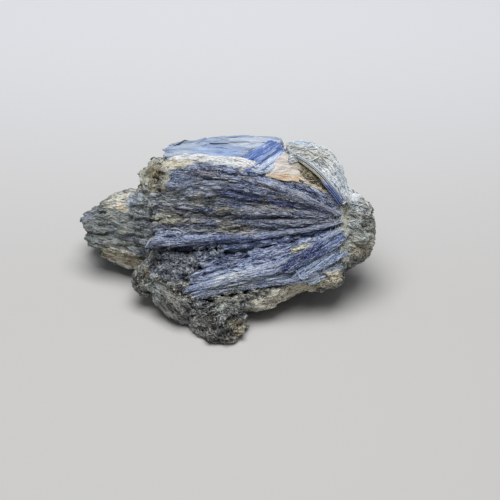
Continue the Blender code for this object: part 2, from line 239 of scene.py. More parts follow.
smooth = {"streak": (0.04, 0.9, 0.9), "hair": (0.15, 2.4, 2.4), "relief": 0.35}
cleaved = {"streak": (0.3, 0.9, 0.3), "hair": (1.2, 2.4, 1.2)}
greyBlue = kyaniteFinish("grey_blue_kyanite", "greyBlueKyanite", pale=(160, 163, 170), dark=(0.27, 0.3, 0.37))
blue = kyaniteFinish("blue_kyanite", "blueKyanite", paleShare=0.42, dark=(0.28, 0.32, 0.4))
paleBlue = kyaniteFinish("pale_kyanite", "paleKyanite", **smooth, contrast=1.5, dark=(0.56, 0.62, 0.7),
                         roughness=(0.28, 0.46))
royal = kyaniteFinish("royal_kyanite", "royalKyanite", **smooth, contrast=1.7, dark=(0.44, 0.5, 0.62),
                      roughness=(0.25, 0.42))
cream = kyaniteFinish("feldspar", "feldspar", **cleaved, contrast=1.4, dark=(0.66, 0.64, 0.6), pale=(206, 202, 198),
                      roughness=(0.3, 0.5))
whiteBlue = kyaniteFinish("white_blue_kyanite", "whiteBlueKyanite", pale=(214, 218, 222), dark=(0.46, 0.47, 0.47),
                          contrast=2.1)
greyGreen = kyaniteFinish("grey_green_kyanite", "greyGreenKyanite", pale=(156, 159, 156), dark=(0.3, 0.31, 0.32),
                          contrast=3)
schist = schistFinish("mica_schist", "micaSchist")
fibres = kyaniteFinish("mica_schist", "schistFibres", pale=(166, 168, 164), dark=(0.24, 0.24, 0.24))
crusty = schistFinish("mica_schist", "paleCrust", dark=(0.66, 0.66, 0.66), pale=(230, 232, 234), contrast=1.5)
print("finishes made")


# Meshes
def link(obj):
    bpy.context.scene.collection.objects.link(obj)
    return obj


def meshOf(bm, name):
    mesh = bpy.data.meshes.new(name)
    bm.to_mesh(mesh)
    bm.free()
    return mesh


def shaped(name, operator, **settings):  # what one operator makes
    bm = bmesh.new()
    operator(bm, **settings)
    return meshOf(bm, name)


def baked(obj):
    mesh = bpy.data.meshes.new_from_object(obj.evaluated_get(bpy.context.evaluated_depsgraph_get()))
    bpy.data.objects.remove(obj)
    return mesh


def vectorsOf(items, key):
    flat = np.empty(len(items) * 3, np.float32)
    items.foreach_get(key, flat)
    return flat.reshape(-1, 3).astype(float)


def moveTo(mesh, places):
    mesh.vertices.foreach_set("co", toWorld(places).astype(np.float32).ravel())
    mesh.update()


def skinned(mesh, voxel):  # one closed, even skin over a mesh's solids
    obj = link(bpy.data.objects.new(mesh.name, mesh))
    skin = obj.modifiers.new("skin", "REMESH")
    skin.mode = "VOXEL"
    skin.voxel_size = voxel * mm
    return baked(obj)


def copies(template, places):  # one mesh with the template's points at each row of places
    obj = link(bpy.data.objects.new("copies", template))
    row = obj.modifiers.new("row", "ARRAY")
    row.count = len(places)
    row.use_relative_offset = False
    row.use_constant_offset = True
    row.constant_offset_displace = (2, 0, 0)
    mesh = baked(obj)
    moveTo(mesh, places.reshape(-1, 3))
    return mesh


class Body:  # a skinned mesh with its places and normals on the face, to be worked on and laid over with laths
    def __init__(self, mesh):
        self.mesh = mesh
        self.places = toFace(vectorsOf(mesh.vertices, "co"))
        self.readNormals()

    def readNormals(self):
        self.normals = vectorsOf(self.mesh.vertex_normals, "vector") @ faceAxes.T

    def slide(self, ways, across, amount):  # fibres slip along their length, so that their ends are ragged
        slip = lumps(across, 2.2, 5.1) + 0.7 * lumps(across, 0.8, 9.3)
        self.places = self.places + ways * (slip * amount)[:, None]
        moveTo(self.mesh, self.places)
        self.readNormals()

    def push(self, distance, toneAndShade=0.3):  # painted shade on what lies deep and a painted highlight on what stands out, by this much
        self.places = self.places + self.normals * distance[:, None]
        moveTo(self.mesh, self.places)
        corners = np.empty(len(self.mesh.loops), np.int32)
        self.mesh.loops.foreach_get("vertex_index", corners)
        faces = corners.reshape(-1, 4)  # the skin is all quads
        self.tree = BVHTree.FromPolygons(self.places.tolist(), faces.tolist())
        self.centres = self.places[faces].mean(axis=1)
        self.outs = vectorsOf(self.mesh.polygons, "normal") @ faceAxes.T
        self.areas = np.array([face.area for face in self.mesh.polygons])
        # the tint holds painted shade and highlight: lower where the surface lies deep, higher where it stands out
        height = (distance - np.median(distance)) / (2 * distance.std() + 1e-9)
        self.tintAndShade = 0.5 + toneAndShade * np.clip(height, -1, 1)
        self.faceTintAndShade = self.tintAndShade[faces].mean(axis=1)

    def pick(self, count, weight, draw):  # faces drawn by their area and a weight, none where it stands
        weights = self.areas * weight * (toWorld(self.centres)[:, 2] > 0.7 * mm)
        return draw.choice(len(weights), count, p=weights / weights.sum())

    def show(self, name, grain, baseAt, patches, finish, *replaced):
        newPiece(name, self.mesh, self.places, grain, self.tintAndShade, baseAt(self.places), patches, finish, replaced)


def bodyOf(nodeName, voxel):
    bm = bmesh.new()
    bm.from_mesh(nodes[nodeName].data)
    bmesh.ops.remove_doubles(bm, verts=bm.verts, dist=1e-6)
    return Body(skinned(meshOf(bm, nodeName), voxel))


def carry(mesh, name, kind, key, values):
    layer = mesh.attributes.new(name, kind, "POINT")
    layer.data.foreach_set(key, np.asarray(values, np.float32).ravel())


# A piece's base colours have each patch over them: (start, end, radius, colour, strength) in face mm
def newPiece(name, mesh, places, grain, tintAndShade, base, patches, finish, replaced=()):
    colours = np.array(np.broadcast_to(base, (len(places), 3)), float)
    ragged = relief(places, ((0.35, 2.2, 7.3), (0.3, 0.8, 3.1)))
    for start, end, radius, colour, strength in patches:
        mask = np.clip((1.2 - capsule(places, start, end, radius) + ragged) / 0.4, 0, 1)[:, None] * strength
        colours = colours * (1 - mask) + rgb(colour) * mask
    carry(mesh, "grain", "FLOAT_VECTOR", "vector", grain)
    carry(mesh, "stain", "FLOAT_COLOR", "color", np.concatenate([colours, np.ones((len(places), 1))], axis=1))
    carry(mesh, "tintAndShade", "FLOAT", "value", tintAndShade)
    slot, material = finish
    mesh.materials.clear()
    mesh.materials.append(material)
    piece = link(bpy.data.objects.new(name, mesh))
    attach(piece, "root")
    if replaced:
        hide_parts(*replaced)
    print(name, "made,", len(mesh.polygons), "faces")


def clouded(colours, places, clouds):  # colours that drift through: (size, level, colour, strength)
    for k, (size, level, colour, strength) in enumerate(clouds):
        mask = np.clip((lumps(places, size, 11.7 * (k + 1)) - level) / 0.15, 0, 1)[:, None] * strength
        colours = colours * (1 - mask) + rgb(colour) * mask
    return colours


def driftingOver(table, grainAt):  # one colour with clouds in it
    return lambda places: clouded(np.tile(rgb(table["colour"]), (len(places), 1)), grainAt(places), table["clouds"])


def nearestTone(flow, colours):  # each path's own colour
    tones = np.array([rgb(colour) for colour in colours])
    return lambda places: tones[flow.path[flow.nearest(places)]]


def pathLine(knots, count=40):  # a smooth line through the knots
    knots = np.array(knots, float)
    place = np.linspace(0, 1, count) * (len(knots) - 1)
    i = np.minimum(place.astype(int), len(knots) - 2)
    t = (place - i)[:, None]
    a, b, c, d = (knots[np.clip(i + k, 0, len(knots) - 1)] for k in (-1, 0, 1, 2))
    return b + 0.5 * t * (c - a + t * (2 * a - 5 * b + 4 * c - d + t * (3 * (b - c) + d - a)))


class Flow:  # which way the fibres run near a set of paths, and grain coordinates along them
    def __init__(self, paths):
        lines = [pathLine(path) for path in paths]
        steps = [np.linalg.norm(np.diff(line, axis=0), axis=1) for line in lines]
        self.spots = np.concatenate(lines)
        self.ways = np.concatenate([unitLength(np.gradient(line, axis=0)) for line in lines])
        self.reach = np.concatenate([np.cumsum(np.r_[0, step]) for step in steps])
        self.path = np.repeat(np.arange(len(lines)), [len(line) for line in lines])

    def nearest(self, places):
        scale = np.array((1, 1, 0.6))
        spots = self.spots * scale
        square = (spots ** 2).sum(axis=1)
        parts = np.array_split(places * scale, len(places) // 20000 + 1)
        return np.concatenate([(square - 2 * part @ spots.T).argmin(axis=1) for part in parts])

    def way(self, places):
        return self.ways[self.nearest(places)]

    def grain(self, places):
        near = self.nearest(places)
        away = places - self.spots[near]
        way = self.ways[near]
        side = unitLength(np.cross((0, 0, 1), way))
        ahead, across = (away * way).sum(axis=1), (away * side).sum(axis=1)
        return np.stack([self.reach[near] + ahead, across + 9 * self.path[near], away[:, 2]], axis=1)


def swirl(size, seed):  # a direction that turns from place to place
    return lambda spots: unitLength(np.stack([lumps(spots, size, seed + 7 * k) for k in range(3)], axis=1))


def steady(*way):
    return lambda spots: np.tile(unitLength(np.array(way, float)), (len(spots), 1))


def fromApex(spots):
    return unitLength((spots - (38.5, 7.5, 0)) * (-1, -1, 0))


# Laths are lists of their lines, normals, widths, thicknesses, tints with painted shade and own colours, in face mm
lathShape = {"lean": 0.35, "narrow": (0.1, 0.5), "broken": 1.6, "uneven": 0.08}


def tapered(sizes, draw, stations):
    share = np.linspace(0, 1, stations)
    ends = draw.uniform(0.35, 1, (len(sizes), 2))
    shape = np.minimum(1, np.minimum(ends[:, :1] + share * 4, ends[:, 1:] + (1 - share) * 4))
    uneven = draw.uniform(-lathShape["uneven"], lathShape["uneven"], (len(sizes), stations))
    return sizes[:, None] * shape * (1 + uneven)


def lathTemplate(cuts):  # one long box from x 0 to 1, on z 0
    bm = bmesh.new()
    bmesh.ops.create_cube(bm, size=1)
    bmesh.ops.translate(bm, verts=bm.verts, vec=(0.5, 0, 0.5))
    lengthwise = [edge for edge in bm.edges if abs(edge.verts[0].co.x - edge.verts[1].co.x) > 0.5]
    bmesh.ops.subdivide_edges(bm, edges=lengthwise, cuts=cuts, use_grid_fill=True)
    return meshOf(bm, "lath")


def lathMesh(laths, draw):
    lines, normals, width, thickness, tintsAndShades, owns = laths
    count, stations = lines.shape[:2]
    template = lathTemplate(stations - 2)
    unit = vectorsOf(template.vertices, "co")
    at = np.rint(unit[:, 0] * (stations - 1)).astype(int)
    along = unitLength(np.gradient(lines, axis=1))
    side = unitLength(np.cross(normals, along))
    normals = np.cross(along, side)
    lean = draw.uniform(-lathShape["lean"], lathShape["lean"], (count, 1))
    narrow = draw.uniform(*lathShape["narrow"], (count, 1))
    wide = (unit[:, 1] * (1 - narrow * unit[:, 2]) + lean * unit[:, 2]) * width[:, at]
    high = unit[:, 2] * thickness[:, at]
    broken = draw.uniform(-lathShape["broken"], lathShape["broken"], (count, 2))
    end = broken[:, [0]] * (unit[:, 0] < 0.01) + broken[:, [1]] * (unit[:, 0] > 0.99)
    places = lines[:, at] + side[:, at] * wide[..., None] + normals[:, at] * high[..., None]
    places = places + along[:, at] * (end * unit[:, 1] * width[:, at])[..., None]
    lengths = np.linalg.norm(lines[:, -1] - lines[:, 0], axis=1)
    offsets = draw.uniform(-400, 400, (count, 1))
    grain = np.stack([unit[:, 0] * lengths[:, None] + offsets, wide + offsets, high], axis=2)
    tintsAndShades, owns = (np.repeat(values, len(unit), axis=0) for values in (tintsAndShades, owns))
    return copies(template, places), places.reshape(-1, 3), grain.reshape(-1, 3), tintsAndShades, owns


def layLaths(name, felts, baseAt, patches, finish, draw):
    laths = [np.concatenate(parts) for parts in zip(*felts)]
    mesh, places, grain, tintAndShade, own = lathMesh(laths, draw)
    base = baseAt(places) * (1 - own[:, 3:]) + own[:, :3] * own[:, 3:]
    newPiece(name, mesh, places, grain, tintAndShade, base, patches, finish)


def nearestOn(tree, places):
    found = [tree.find_nearest(place) for place in places.tolist()]
    hits = np.array([(*spot, *out) for spot, out, _, _ in found])
    return hits[:, :3], hits[:, 3:]


def draped(tree, starts, ways, lengths, stations):  # lines over a surface, and the surface's normals along them
    spots, outs = nearestOn(tree, starts)
    lines, normals = [spots], [outs]
    pace = (lengths / (stations - 1))[:, None]
    for _ in range(stations - 1):
        ways = unitLength(ways - normals[-1] * (ways * normals[-1]).sum(axis=1, keepdims=True) * 0.8)
        spots, outs = nearestOn(tree, lines[-1] + ways * pace)
        lines.append(spots)
        normals.append(unitLength(normals[-1] * 0.5 + outs * 0.5))
    lines, normals = np.stack(lines, axis=1), np.stack(normals, axis=1)
    share = np.linspace(0, 1, stations)[:, None]
    chord = lines[:, :1] * (1 - share) + lines[:, -1:] * share
    middle = stations // 2
    bow = 4 * share * (1 - share) * (lines[:, middle] - chord[:, middle])[:, None]
    return lines * 0.35 + (chord + bow) * 0.65, normals


# Laths laid over a body: all over, or only near a spot, in front of a depth, and facing or shunning a way.
# Mixed gives some of them a colour of their own: (share, colour, strength).
def feltOf(body, wayAt, draw, count, width, length, thick, lift, roll, wander, facing=None, spot=None, front=None,
           shun=None, mixed=(), pitch=0.03, vary=0.1, stations=4, scaleAt=None):
    weight = np.ones(len(body.areas))
    if spot:
        weight = np.clip((1.15 - capsule(body.centres, *spot)) / 0.3, 0, 1)
    if front:
        weight = weight * (body.centres[:, 2] > front)
    if shun:
        weight = weight * (body.outs @ shun < 0.6)
    if facing:
        weight = weight * (body.outs @ facing > 0.6)
    picks = body.pick(count, weight, draw)
    starts = body.centres[picks]
    scale = scaleAt(starts) if scaleAt else 1
    lengths = draw.uniform(*length, count) * scale
    ways = unitLength(wayAt(starts) + draw.normal(0, wander, (count, 3)))
    lines, normals = draped(body.tree, starts - ways * lengths[:, None] / 2, ways, lengths, stations)

    lengths = np.linalg.norm(lines[:, -1] - lines[:, 0], axis=1)
    thicks = draw.uniform(*thick, count) * scale
    pitches = (draw.normal(0, pitch, count) * lengths)[:, None] * np.linspace(-0.5, 0.5, stations)
    lifts = draw.uniform(*lift, count) * scale - thicks * 0.5
    lines = lines + normals * (lifts[:, None] + pitches)[..., None]
    ways = unitLength(lines[:, -1:] - lines[:, :1])
    angle = draw.normal(0, roll, (count, 1, 1))
    normals = normals * np.cos(angle) + np.cross(ways, normals) * np.sin(angle)
    widths = tapered(draw.uniform(*width, count) * scale, draw, stations)
    # each lath takes the painted shade of the spot it lies on, varied at random
    tintsAndShades = body.faceTintAndShade[picks] + draw.normal(0, vary, count)
    thicks = tapered(thicks, draw, stations)
    own = np.zeros((count, 4))
    chance = draw.uniform(0, 1, count)
    for share, colour, strength in mixed:
        own[(chance >= 0) & (chance < share)] = (*rgb(colour), strength)
        chance = chance - share
    return [lines, normals, widths, thicks, tintsAndShades, own]


def bladeSet(rows, draw, stations):  # laths along given knots: (knots, width, thickness, colour)
    lines = np.array([pathLine(knots, stations) for knots, _, _, _ in rows])
    normals = np.tile((0.0, 0.0, 1.0), (len(rows), stations, 1))
    widths, thicks = (tapered(np.array([row[k] for row in rows], float), draw, stations) for k in (1, 2))
    own = np.array([(*rgb(row[3]), 0.9) for row in rows])
    return [lines, normals, widths, thicks, np.full(len(rows), 0.5), own]


# Small platy crystals stuck on a surface, most lying flat
def scatterCrumbs(name, body, count, draw, baseAt, patches, finish, size=1, weight=1):
    picks = body.pick(count, weight, draw)
    outs = unitLength(body.outs[picks] + draw.normal(0, 0.35, (count, 3)))
    ways = unitLength(np.cross(outs, draw.normal(0, 1, (count, 3))))
    axes = np.stack([ways, np.cross(outs, ways), outs], axis=1)
    template = shaped("crumb", bmesh.ops.create_cube, size=1)
    unit = vectorsOf(template.vertices, "co") * (1 + draw.uniform(-0.4, 0.4, (count, 8, 3)))
    sizes = size * np.exp(draw.normal(-0.5, 0.35, (count, 1)))
    sizes = sizes * draw.uniform((0.5, 0.35, 0.15), (1, 0.8, 0.4), (count, 3))
    places = body.centres[picks][:, None] + (unit * sizes[:, None]) @ axes
    tintAndShade = np.repeat(body.faceTintAndShade[picks] + draw.normal(0, 0.12, count), 8)
    mesh, places = copies(template, places), places.reshape(-1, 3)
    newPiece(name, mesh, places, places, tintAndShade, baseAt(places), patches, finish)


# A spray of blades: its skin slips and folds along the fibres, and laths lie over it
def dressSpray(name, cover, body, table, grainAt, wayAt, baseAt, finish, draw, *replaced, **where):
    grain = grainAt(body.places)
    body.slide(wayAt(body.places), grain * (0, 1, 1), table["slip"])
    body.push(relief(grain, table["folds"]) + relief(body.places, table["lumps"]) - table["sunk"], table["toneAndShade"])
    body.show(f"{name}_body", grain, baseAt, table["patches"], finish, *replaced)
    felts = [feltOf(body, wayAt, draw, *row, mixed=table["mixed"], **where) for row in table["laths"]]
    layLaths(f"{name}_{cover}", felts, baseAt, table["patches"], finish, draw)
    return body


# The main spray: a fan of long fibrous blades that converge at the right
fan = {
    "root": (38.5, 7.5),
    "flare": 24,
    "voxel": 0.42,
    "slip": 1.2,
    "folds": ((1.7, (12, 1.8, 4), 2.2, 0.35), (1.1, (4, 0.9, 2), 4.1, 9)),
    "swells": ((0.5, (5, 1.6, 2), 9.9), (0.9, (20, 4, 7), 1.9)),
    "laths": (  # how many, width, length, thickness, lift, roll, wander
        (700, (0.4, 1), (2.4, 8), (0.4, 0.9), (-0.4, 0.4), 0.35, 0.05),
        (3500, (0.2, 0.5), (1, 4.2), (0.25, 0.6), (-0.2, 0.45), 0.5, 0.08),
    ),
    "hairs": (3500, (0.16, 0.36), (0.6, 2), (0.16, 0.4), (0, 0.45), 0.7, 0.16),
    "mixed": (
        (0.14, (134, 132, 124), 0.5), (0.06, (84, 98, 136), 0.4), (0.1, (158, 164, 175), 0.5),
        (0.12, (56, 60, 70), 0.55),
    ),
    "felts": (  # where, laths, own colours: rough at the upper left, at the root, and pale along the upper edge
        (((-21, 22, 0), (-15, 18, 0), 3.6), (400, (0.25, 0.7), (0.9, 2.8), (0.25, 0.6), (-0.1, 0.5), 0.7, 0.5),
         ((0.3, (134, 148, 170), 0.5), (0.2, (92, 98, 110), 0.5))),
        (((26, 9.8, 0), (36, 7.8, 0), 5), (440, (0.2, 0.5), (1, 3.6), (0.2, 0.45), (-0.05, 0.4), 0.6, 0.1),
         ((0.25, (122, 130, 146), 0.5), (0.25, (70, 78, 100), 0.5))),
        (((-14, 25.2, 0), (7, 23.8, 0), 1.5), (260, (0.2, 0.5), (0.8, 2.6), (0.15, 0.35), (0, 0.5), 0.6, 0.35),
         ((0.4, (206, 211, 220), 0.75), (0.25, (150, 160, 182), 0.6))),
    ),
    "bands": (  # across the fan, from its lower edge to its upper one
        (-20, (134, 146, 172)), (-13, (129, 140, 167)), (-10, (112, 124, 152)), (-7.6, (124, 134, 158)),
        (-5.5, (90, 96, 108)), (-2, (104, 106, 107)), (3, (96, 99, 102)), (8, (104, 108, 112)),
        (12, (116, 122, 140)), (17, (127, 137, 160)), (20.6, (150, 160, 182)),
    ),
    "clouds": (  # size, level, colour, strength
        ((7, 1.8, 4), 0.16, (146, 140, 122), 0.6), ((8, 2, 4), 0.24, (84, 98, 138), 0.6),
        ((6, 1.6, 4), 0.25, (140, 148, 162), 0.5), ((11, 2, 4), 0.2, (100, 94, 102), 0.5),
    ),
    "patches": (
        ((-26.5, 8.2, 0), (-18.5, 7.6, 0), 1.5, (154, 151, 130), 0.75),
        ((-3, 5.2, 0), (6, 4.2, 0), 1.3, (148, 142, 128), 0.6),
        ((-19, 16.8, 0), (-10, 15.2, 0), 1.3, (150, 146, 124), 0.6),
        ((-2, 17.4, 0), (9, 15.6, 0), 1.8, (66, 84, 134), 0.6),
        ((14, 14.2, 0), (22, 12.6, 0), 1, (58, 72, 128), 0.7),
        ((10, 19.6, 0), (20, 16.4, 0), 1, (146, 142, 130), 0.4),
        ((26, 13, 0), (34, 10, 0), 1.8, (66, 76, 116), 0.5),
        ((-11, 23.4, 1), (-5, 23.2, 1), 1.3, (132, 128, 136), 0.7),
        ((-20, 20.5, 1), (-14, 17.5, 1), 3, (116, 130, 152), 0.6),
        # a small painted white glint
        ((-19.6, 3.1, 2), (-17.2, 2.8, 2), 0.6, (232, 234, 240), 0.9),
        # lavender ridge, with a painted highlight along its top
        ((-21, 1.6, 2), (-8, 1, 2), 1.3, (146, 158, 186), 0.6),
        ((8, 1.6, 1), (32, 4.4, 1), 1.1, (66, 80, 120), 0.6),
        ((12, 6, 0), (33, 8, 0), 4.5, (104, 113, 136), 0.5),
        ((-24, 1.4, 2), (-4, 1, 1), 2, (120, 132, 160), 0.65),
        ((-4, 0.6, 2), (16, 1.6, 1), 1.5, (96, 114, 162), 0.7),
        # deep blue under the ridge, with painted shade beneath it
        ((-20, -2, 0), (12, -0.8, 0), 0.9, (48, 64, 112), 0.65),
        ((-24.8, 23, 0), (-22.8, 19.4, 0), 1.6, (120, 112, 86), 0.8),
    ),
}


def fanOpening(along):  # how far the fan has spread, from 0 at its root to 1
    return 1 - np.exp(-np.maximum(along + 2, 0.6) / fan["flare"])


def fanSway(along, across):  # the blades aren't quite straight
    return lumps(np.stack([along / 13, across / 6, along * 0], axis=1), 1, 3.7) * 1.3


def fanGrain(places):
    along = fan["root"][0] - places[:, 0]
    across = (places[:, 1] - fan["root"][1]) / fanOpening(along)
    return np.stack([along, across - fanSway(along, across), places[:, 2]], axis=1)


def fanWays(spots):
    along, across, _ = fanGrain(spots).T
    rise = [(across + fanSway(along + step, across)) * fanOpening(along + step) for step in (-0.5, 0.5)]
    return unitLength(np.stack([-np.ones(len(spots)), rise[1] - rise[0], np.zeros(len(spots))], axis=1))


def fanColours(places):
    grain = fanGrain(places)
    across = grain[:, 1] + lumps(places, (9, 1.6, 4), 5.5) * 2.2
    stops, tones = zip(*fan["bands"])
    tones = np.array([rgb(colour) for colour in tones])
    colours = np.stack([np.interp(across, stops, tones[:, channel]) for channel in range(3)], axis=1)
    return clouded(colours, grain, fan["clouds"])


def buildFan():
    draw = np.random.default_rng(5)
    body = bodyOf("main_blade_spray", fan["voxel"])
    grain = fanGrain(body.places)
    body.slide(fanWays(body.places), grain * (0, 1, 1), fan["slip"])
    none = grain[:, 0] * 0
    bent = grain + np.stack([none, lumps(grain, (9, 4, 5), 7.7) * 2, none], axis=1)
    row = np.floor(bent[:, 1] / 1.7 + lumps(bent * (0, 1, 0), 4, 2.9))
    step = (grain[:, 0] + 4 * lumps(grain, (9, 2, 5), 6.4)) / 8 + lot(np.stack([row, none, none], axis=1)) * 7
    blocks = lot(np.stack([row, np.floor(step), none], axis=1)) - 0.5
    push = 0.6 * blocks + relief(bent, fan["folds"]) + relief(grain, fan["swells"])
    push += 0.3 * lumps(body.places, 0.9, 6.6) - 0.9
    opening = fanOpening(grain[:, 0])
    body.push(push * np.clip(body.normals[:, 2] * 2, 0.25, 1) * (0.1 + 0.9 * opening ** 2))
    # Lighter towards the root: painted light against the shade of the deep grooves there; the lumps vary the tone at
    # random
    body.tintAndShade += 0.15 * lumps(grain, (4, 0.9, 2), 9.4) + 0.14 * (1 - opening)
    body.faceTintAndShade += 0.12 * (1 - fanOpening(fan["root"][0] - body.centres[:, 0]))
    body.show("main_spray_body", grain, fanColours, fan["patches"], greyBlue, "main_blade_spray")

    def scaleAt(spots):
        return 0.3 + 0.7 * fanOpening(fan["root"][0] - spots[:, 0])

    spread = {"mixed": fan["mixed"], "scaleAt": scaleAt}
    felts = [feltOf(body, fanWays, draw, *laths, **spread) for laths in fan["laths"]]
    felts += [feltOf(body, fromApex, draw, *laths, spot=spot, mixed=mixed) for spot, laths, mixed in fan["felts"]]
    layLaths("main_spray_blades", felts, fanColours, fan["patches"], greyBlue, draw)
    hairs = feltOf(body, fanWays, draw, *fan["hairs"], front=-8, pitch=0.09, **spread)
    layLaths("main_spray_fibres", [hairs], fanColours, fan["patches"], greyBlue, draw)
    return body


# The blades across the front of the foot
lower = {
    "blades": (  # knots, colour
        (((38.5, 4, 1), (26.5, -4.6, 3.4), (14.7, -8.8, 4.4), (1.3, -12, 4.4), (-15, -16.4, 3.2)), (138, 148, 170)),
        (((34.5, -10, 1), (15, -12.9, 3.2), (1, -15, 3.4), (-12.5, -18.2, 2.6)), (122, 132, 152)),
        (((37.6, 2.4, 2.4), (29.5, -2.9, 4.6), (20.5, -8.6, 4.8)), (88, 106, 146)),
        (((38.5, -2, 1.2), (31.5, -6.6, 3.2), (24, -10.9, 3.8)), (142, 156, 180)),
        (((38, -6, -0.5), (33, -9.4, 1.4), (27.5, -12.8, 2.2)), (150, 160, 176)),
        (((31.5, 1.2, 0.6), (24, -3.4, 1.8), (16, -7, 2)), (108, 119, 148)),
        (((12, -10.9, 1), (0, -13.6, 1.6), (-11, -17, 1)), (112, 124, 152)),
    ),
    "slip": 1.6,
    "folds": ((1.9, (20, 1.8, 3), 1.2, 0.35), (0.5, (7, 0.7, 2), 6.1, 9), (0.3, (6, 1.6, 2), 9.9)),
    "lumps": ((0.2, 0.9, 2.8),),
    "sunk": 0.55,
    "toneAndShade": 0.3,
    "laths": (
        (380, (0.5, 1.1), (3, 10), (0.4, 0.8), (-0.3, 0.35), 0.3, 0.05),
        (1700, (0.2, 0.5), (1, 4), (0.2, 0.45), (-0.15, 0.45), 0.5, 0.11),
        (1700, (0.16, 0.36), (0.5, 1.8), (0.14, 0.36), (0, 0.45), 0.7, 0.18),
    ),
    "mixed": (
        (0.14, (178, 185, 198), 0.5), (0.05, (176, 176, 166), 0.5), (0.07, (78, 96, 142), 0.5),
        (0.08, (70, 76, 88), 0.5),
    ),
    "patches": (
        ((-6, -15.4, 3), (8, -13.4, 3), 1.6, (140, 146, 150), 0.5),
        # a painted highlight along the ridge's top
        ((-4, -12.6, 4), (6, -10.6, 4), 0.9, (196, 200, 208), 0.6),
        ((1, -11, 4), (4, -10.4, 4), 0.6, (206, 198, 172), 0.6),
        ((-14, -16.2, 3), (-9, -15, 3), 1.8, (130, 143, 170), 0.8),
        ((22, -2.6, 2), (26.5, -1, 2), 1.1, (208, 202, 178), 0.9),
        # painted shade in the pit under the tip
        ((-9, -18.8, 2), (-6, -18.4, 2), 1, (54, 58, 74), 0.8),
        ((19, -8.4, 4), (30, -2, 4), 1.8, (6, 32, 90), 0.95),
    ),
}


def buildLower():
    paths, colours = zip(*lower["blades"])
    flow = Flow(paths)
    body, draw = bodyOf("lower_blade_spray", 0.35), np.random.default_rng(8)
    return dressSpray("lower_spray", "blades", body, lower, flow.grain, flow.way, nearestTone(flow, colours), blue,
                      draw, "lower_blade_spray", front=-1)


# The smooth blades on the level top, pale and royal blue
upward = tuple(faceAxes @ (0, 0, 1))  # the way up, on the face
plates = {
    "slip": 0.8,
    "folds": ((0.4, (16, 1.4, 1.4), 1.2, 9), (0.2, (8, 0.6, 0.6), 6.1, 9)),
    "lumps": (),
    "sunk": 0.15,
    "toneAndShade": 0.14,
}
palePlates = {
    **plates,
    "paths": (
        ((-21.5, 30.6, -2.5), (-8, 30.4, -2), (6, 30, -2)),
        ((-20, 31.2, -6), (-6, 33, -6.5), (12, 33.2, -7)),
        ((-15.5, 31.8, -10.5), (0, 34.4, -11), (17, 33.8, -11.5)),
        ((-20, 29.2, -1), (-13, 30, -0.6), (-4, 28.4, -0.4)),
    ),
    "colour": (127, 139, 156),
    "clouds": (
        ((14, 2.5, 4), 0.1, (114, 134, 168), 0.7), ((12, 2, 4), 0.12, (152, 160, 170), 0.7),
        ((9, 1.2, 3), 0.25, (90, 106, 142), 0.6),
    ),
    "patches": (
        ((-12, 31, -3), (2, 31.2, -3), 2, (104, 128, 170), 0.5),
        ((2, 34.5, -8), (15, 34.5, -9), 2.2, (160, 168, 178), 0.6),
        ((-21, 30, -2), (-18, 31, -3), 1.8, (132, 142, 160), 0.7),
        ((-16, 28.4, 0), (3, 27.6, 0), 1, (190, 193, 194), 0.7),
    ),
    "laths": (
        (90, (1, 2.6), (6, 14), (0.2, 0.4), (0, 0.2), 0.06, 0.03, upward),
        (560, (0.2, 0.6), (3, 9), (0.12, 0.3), (0, 0.2), 0.15, 0.03, upward),
        (700, (0.2, 0.5), (2, 6), (0.15, 0.35), (0, 0.3), 0.3, 0.03),
    ),
    "mixed": ((0.2, (160, 168, 180), 0.5), (0.15, (98, 118, 160), 0.5), (0.08, (92, 100, 118), 0.5)),
}
royalPlates = {
    **plates,
    "paths": (
        ((3, 26.6, 1.2), (8, 30, -1.2), (14.6, 34.4, -6.6)),
        ((5.2, 25.2, 1.6), (10.4, 28.8, -0.6), (16.8, 33.6, -6.6)),
        ((8.4, 24.6, 1.4), (13, 27.4, -0.6), (18.4, 31.4, -5.2)),
    ),
    "colour": (80, 104, 156),
    "clouds": (((9, 0.8, 2), 0.15, (58, 82, 140), 0.6), ((9, 0.5, 2), 0.2, (150, 164, 188), 0.6)),
    "patches": (
        ((9, 24.4, 1), (19, 30.6, -4), 0.8, (178, 187, 198), 0.8),
        ((5.5, 28, 0), (13, 33.2, -5), 0.35, (180, 190, 206), 0.7),
    ),
    "laths": (
        (26, (0.8, 1.5), (6, 10), (0.2, 0.4), (0, 0.2), 0.06, 0.03, upward),
        (300, (0.15, 0.5), (3, 9), (0.12, 0.3), (0, 0.2), 0.15, 0.03, upward),
    ),
    "mixed": ((0.14, (160, 174, 196), 0.6), (0.25, (58, 80, 140), 0.5)),
}


def buildPlates(name, plate, finish):
    flow = Flow(plate["paths"])
    body, draw = bodyOf(f"top_{name}_blades", 0.3), np.random.default_rng(len(name))
    return dressSpray(f"top_{name}", "flakes", body, plate, flow.grain, flow.way, driftingOver(plate, flow.grain),
                      finish, draw, f"top_{name}_blades", pitch=0.01, vary=0.07)


# The feldspar grain
feldspar = {
    "colour": (182, 174, 165),
    "relief": ((0.35, (3.4, 2.2, 3), 8.1), (-0.25, (3, 1.1, 2), 3.3, 9)),
    "patches": (
        ((14, 22.5, 0), (23, 21.5, 0), 1.1, (186, 158, 120), 0.7),
        ((19.5, 29.6, 0), (23.5, 26, 0), 0.8, (160, 158, 138), 0.7),
        ((15, 25, 0), (19, 27.6, 0), 2.2, (192, 184, 180), 0.6),
    ),
}


def buildFeldspar():
    body = bodyOf("feldspar_grain", 0.3)
    body.push(relief(body.places, feldspar["relief"]), 0.15)
    body.tintAndShade += 0.05
    base = rgb(feldspar["colour"])
    body.show("feldspar_facets", body.places, lambda _: base, feldspar["patches"], cream, "feldspar_grain")
    return body


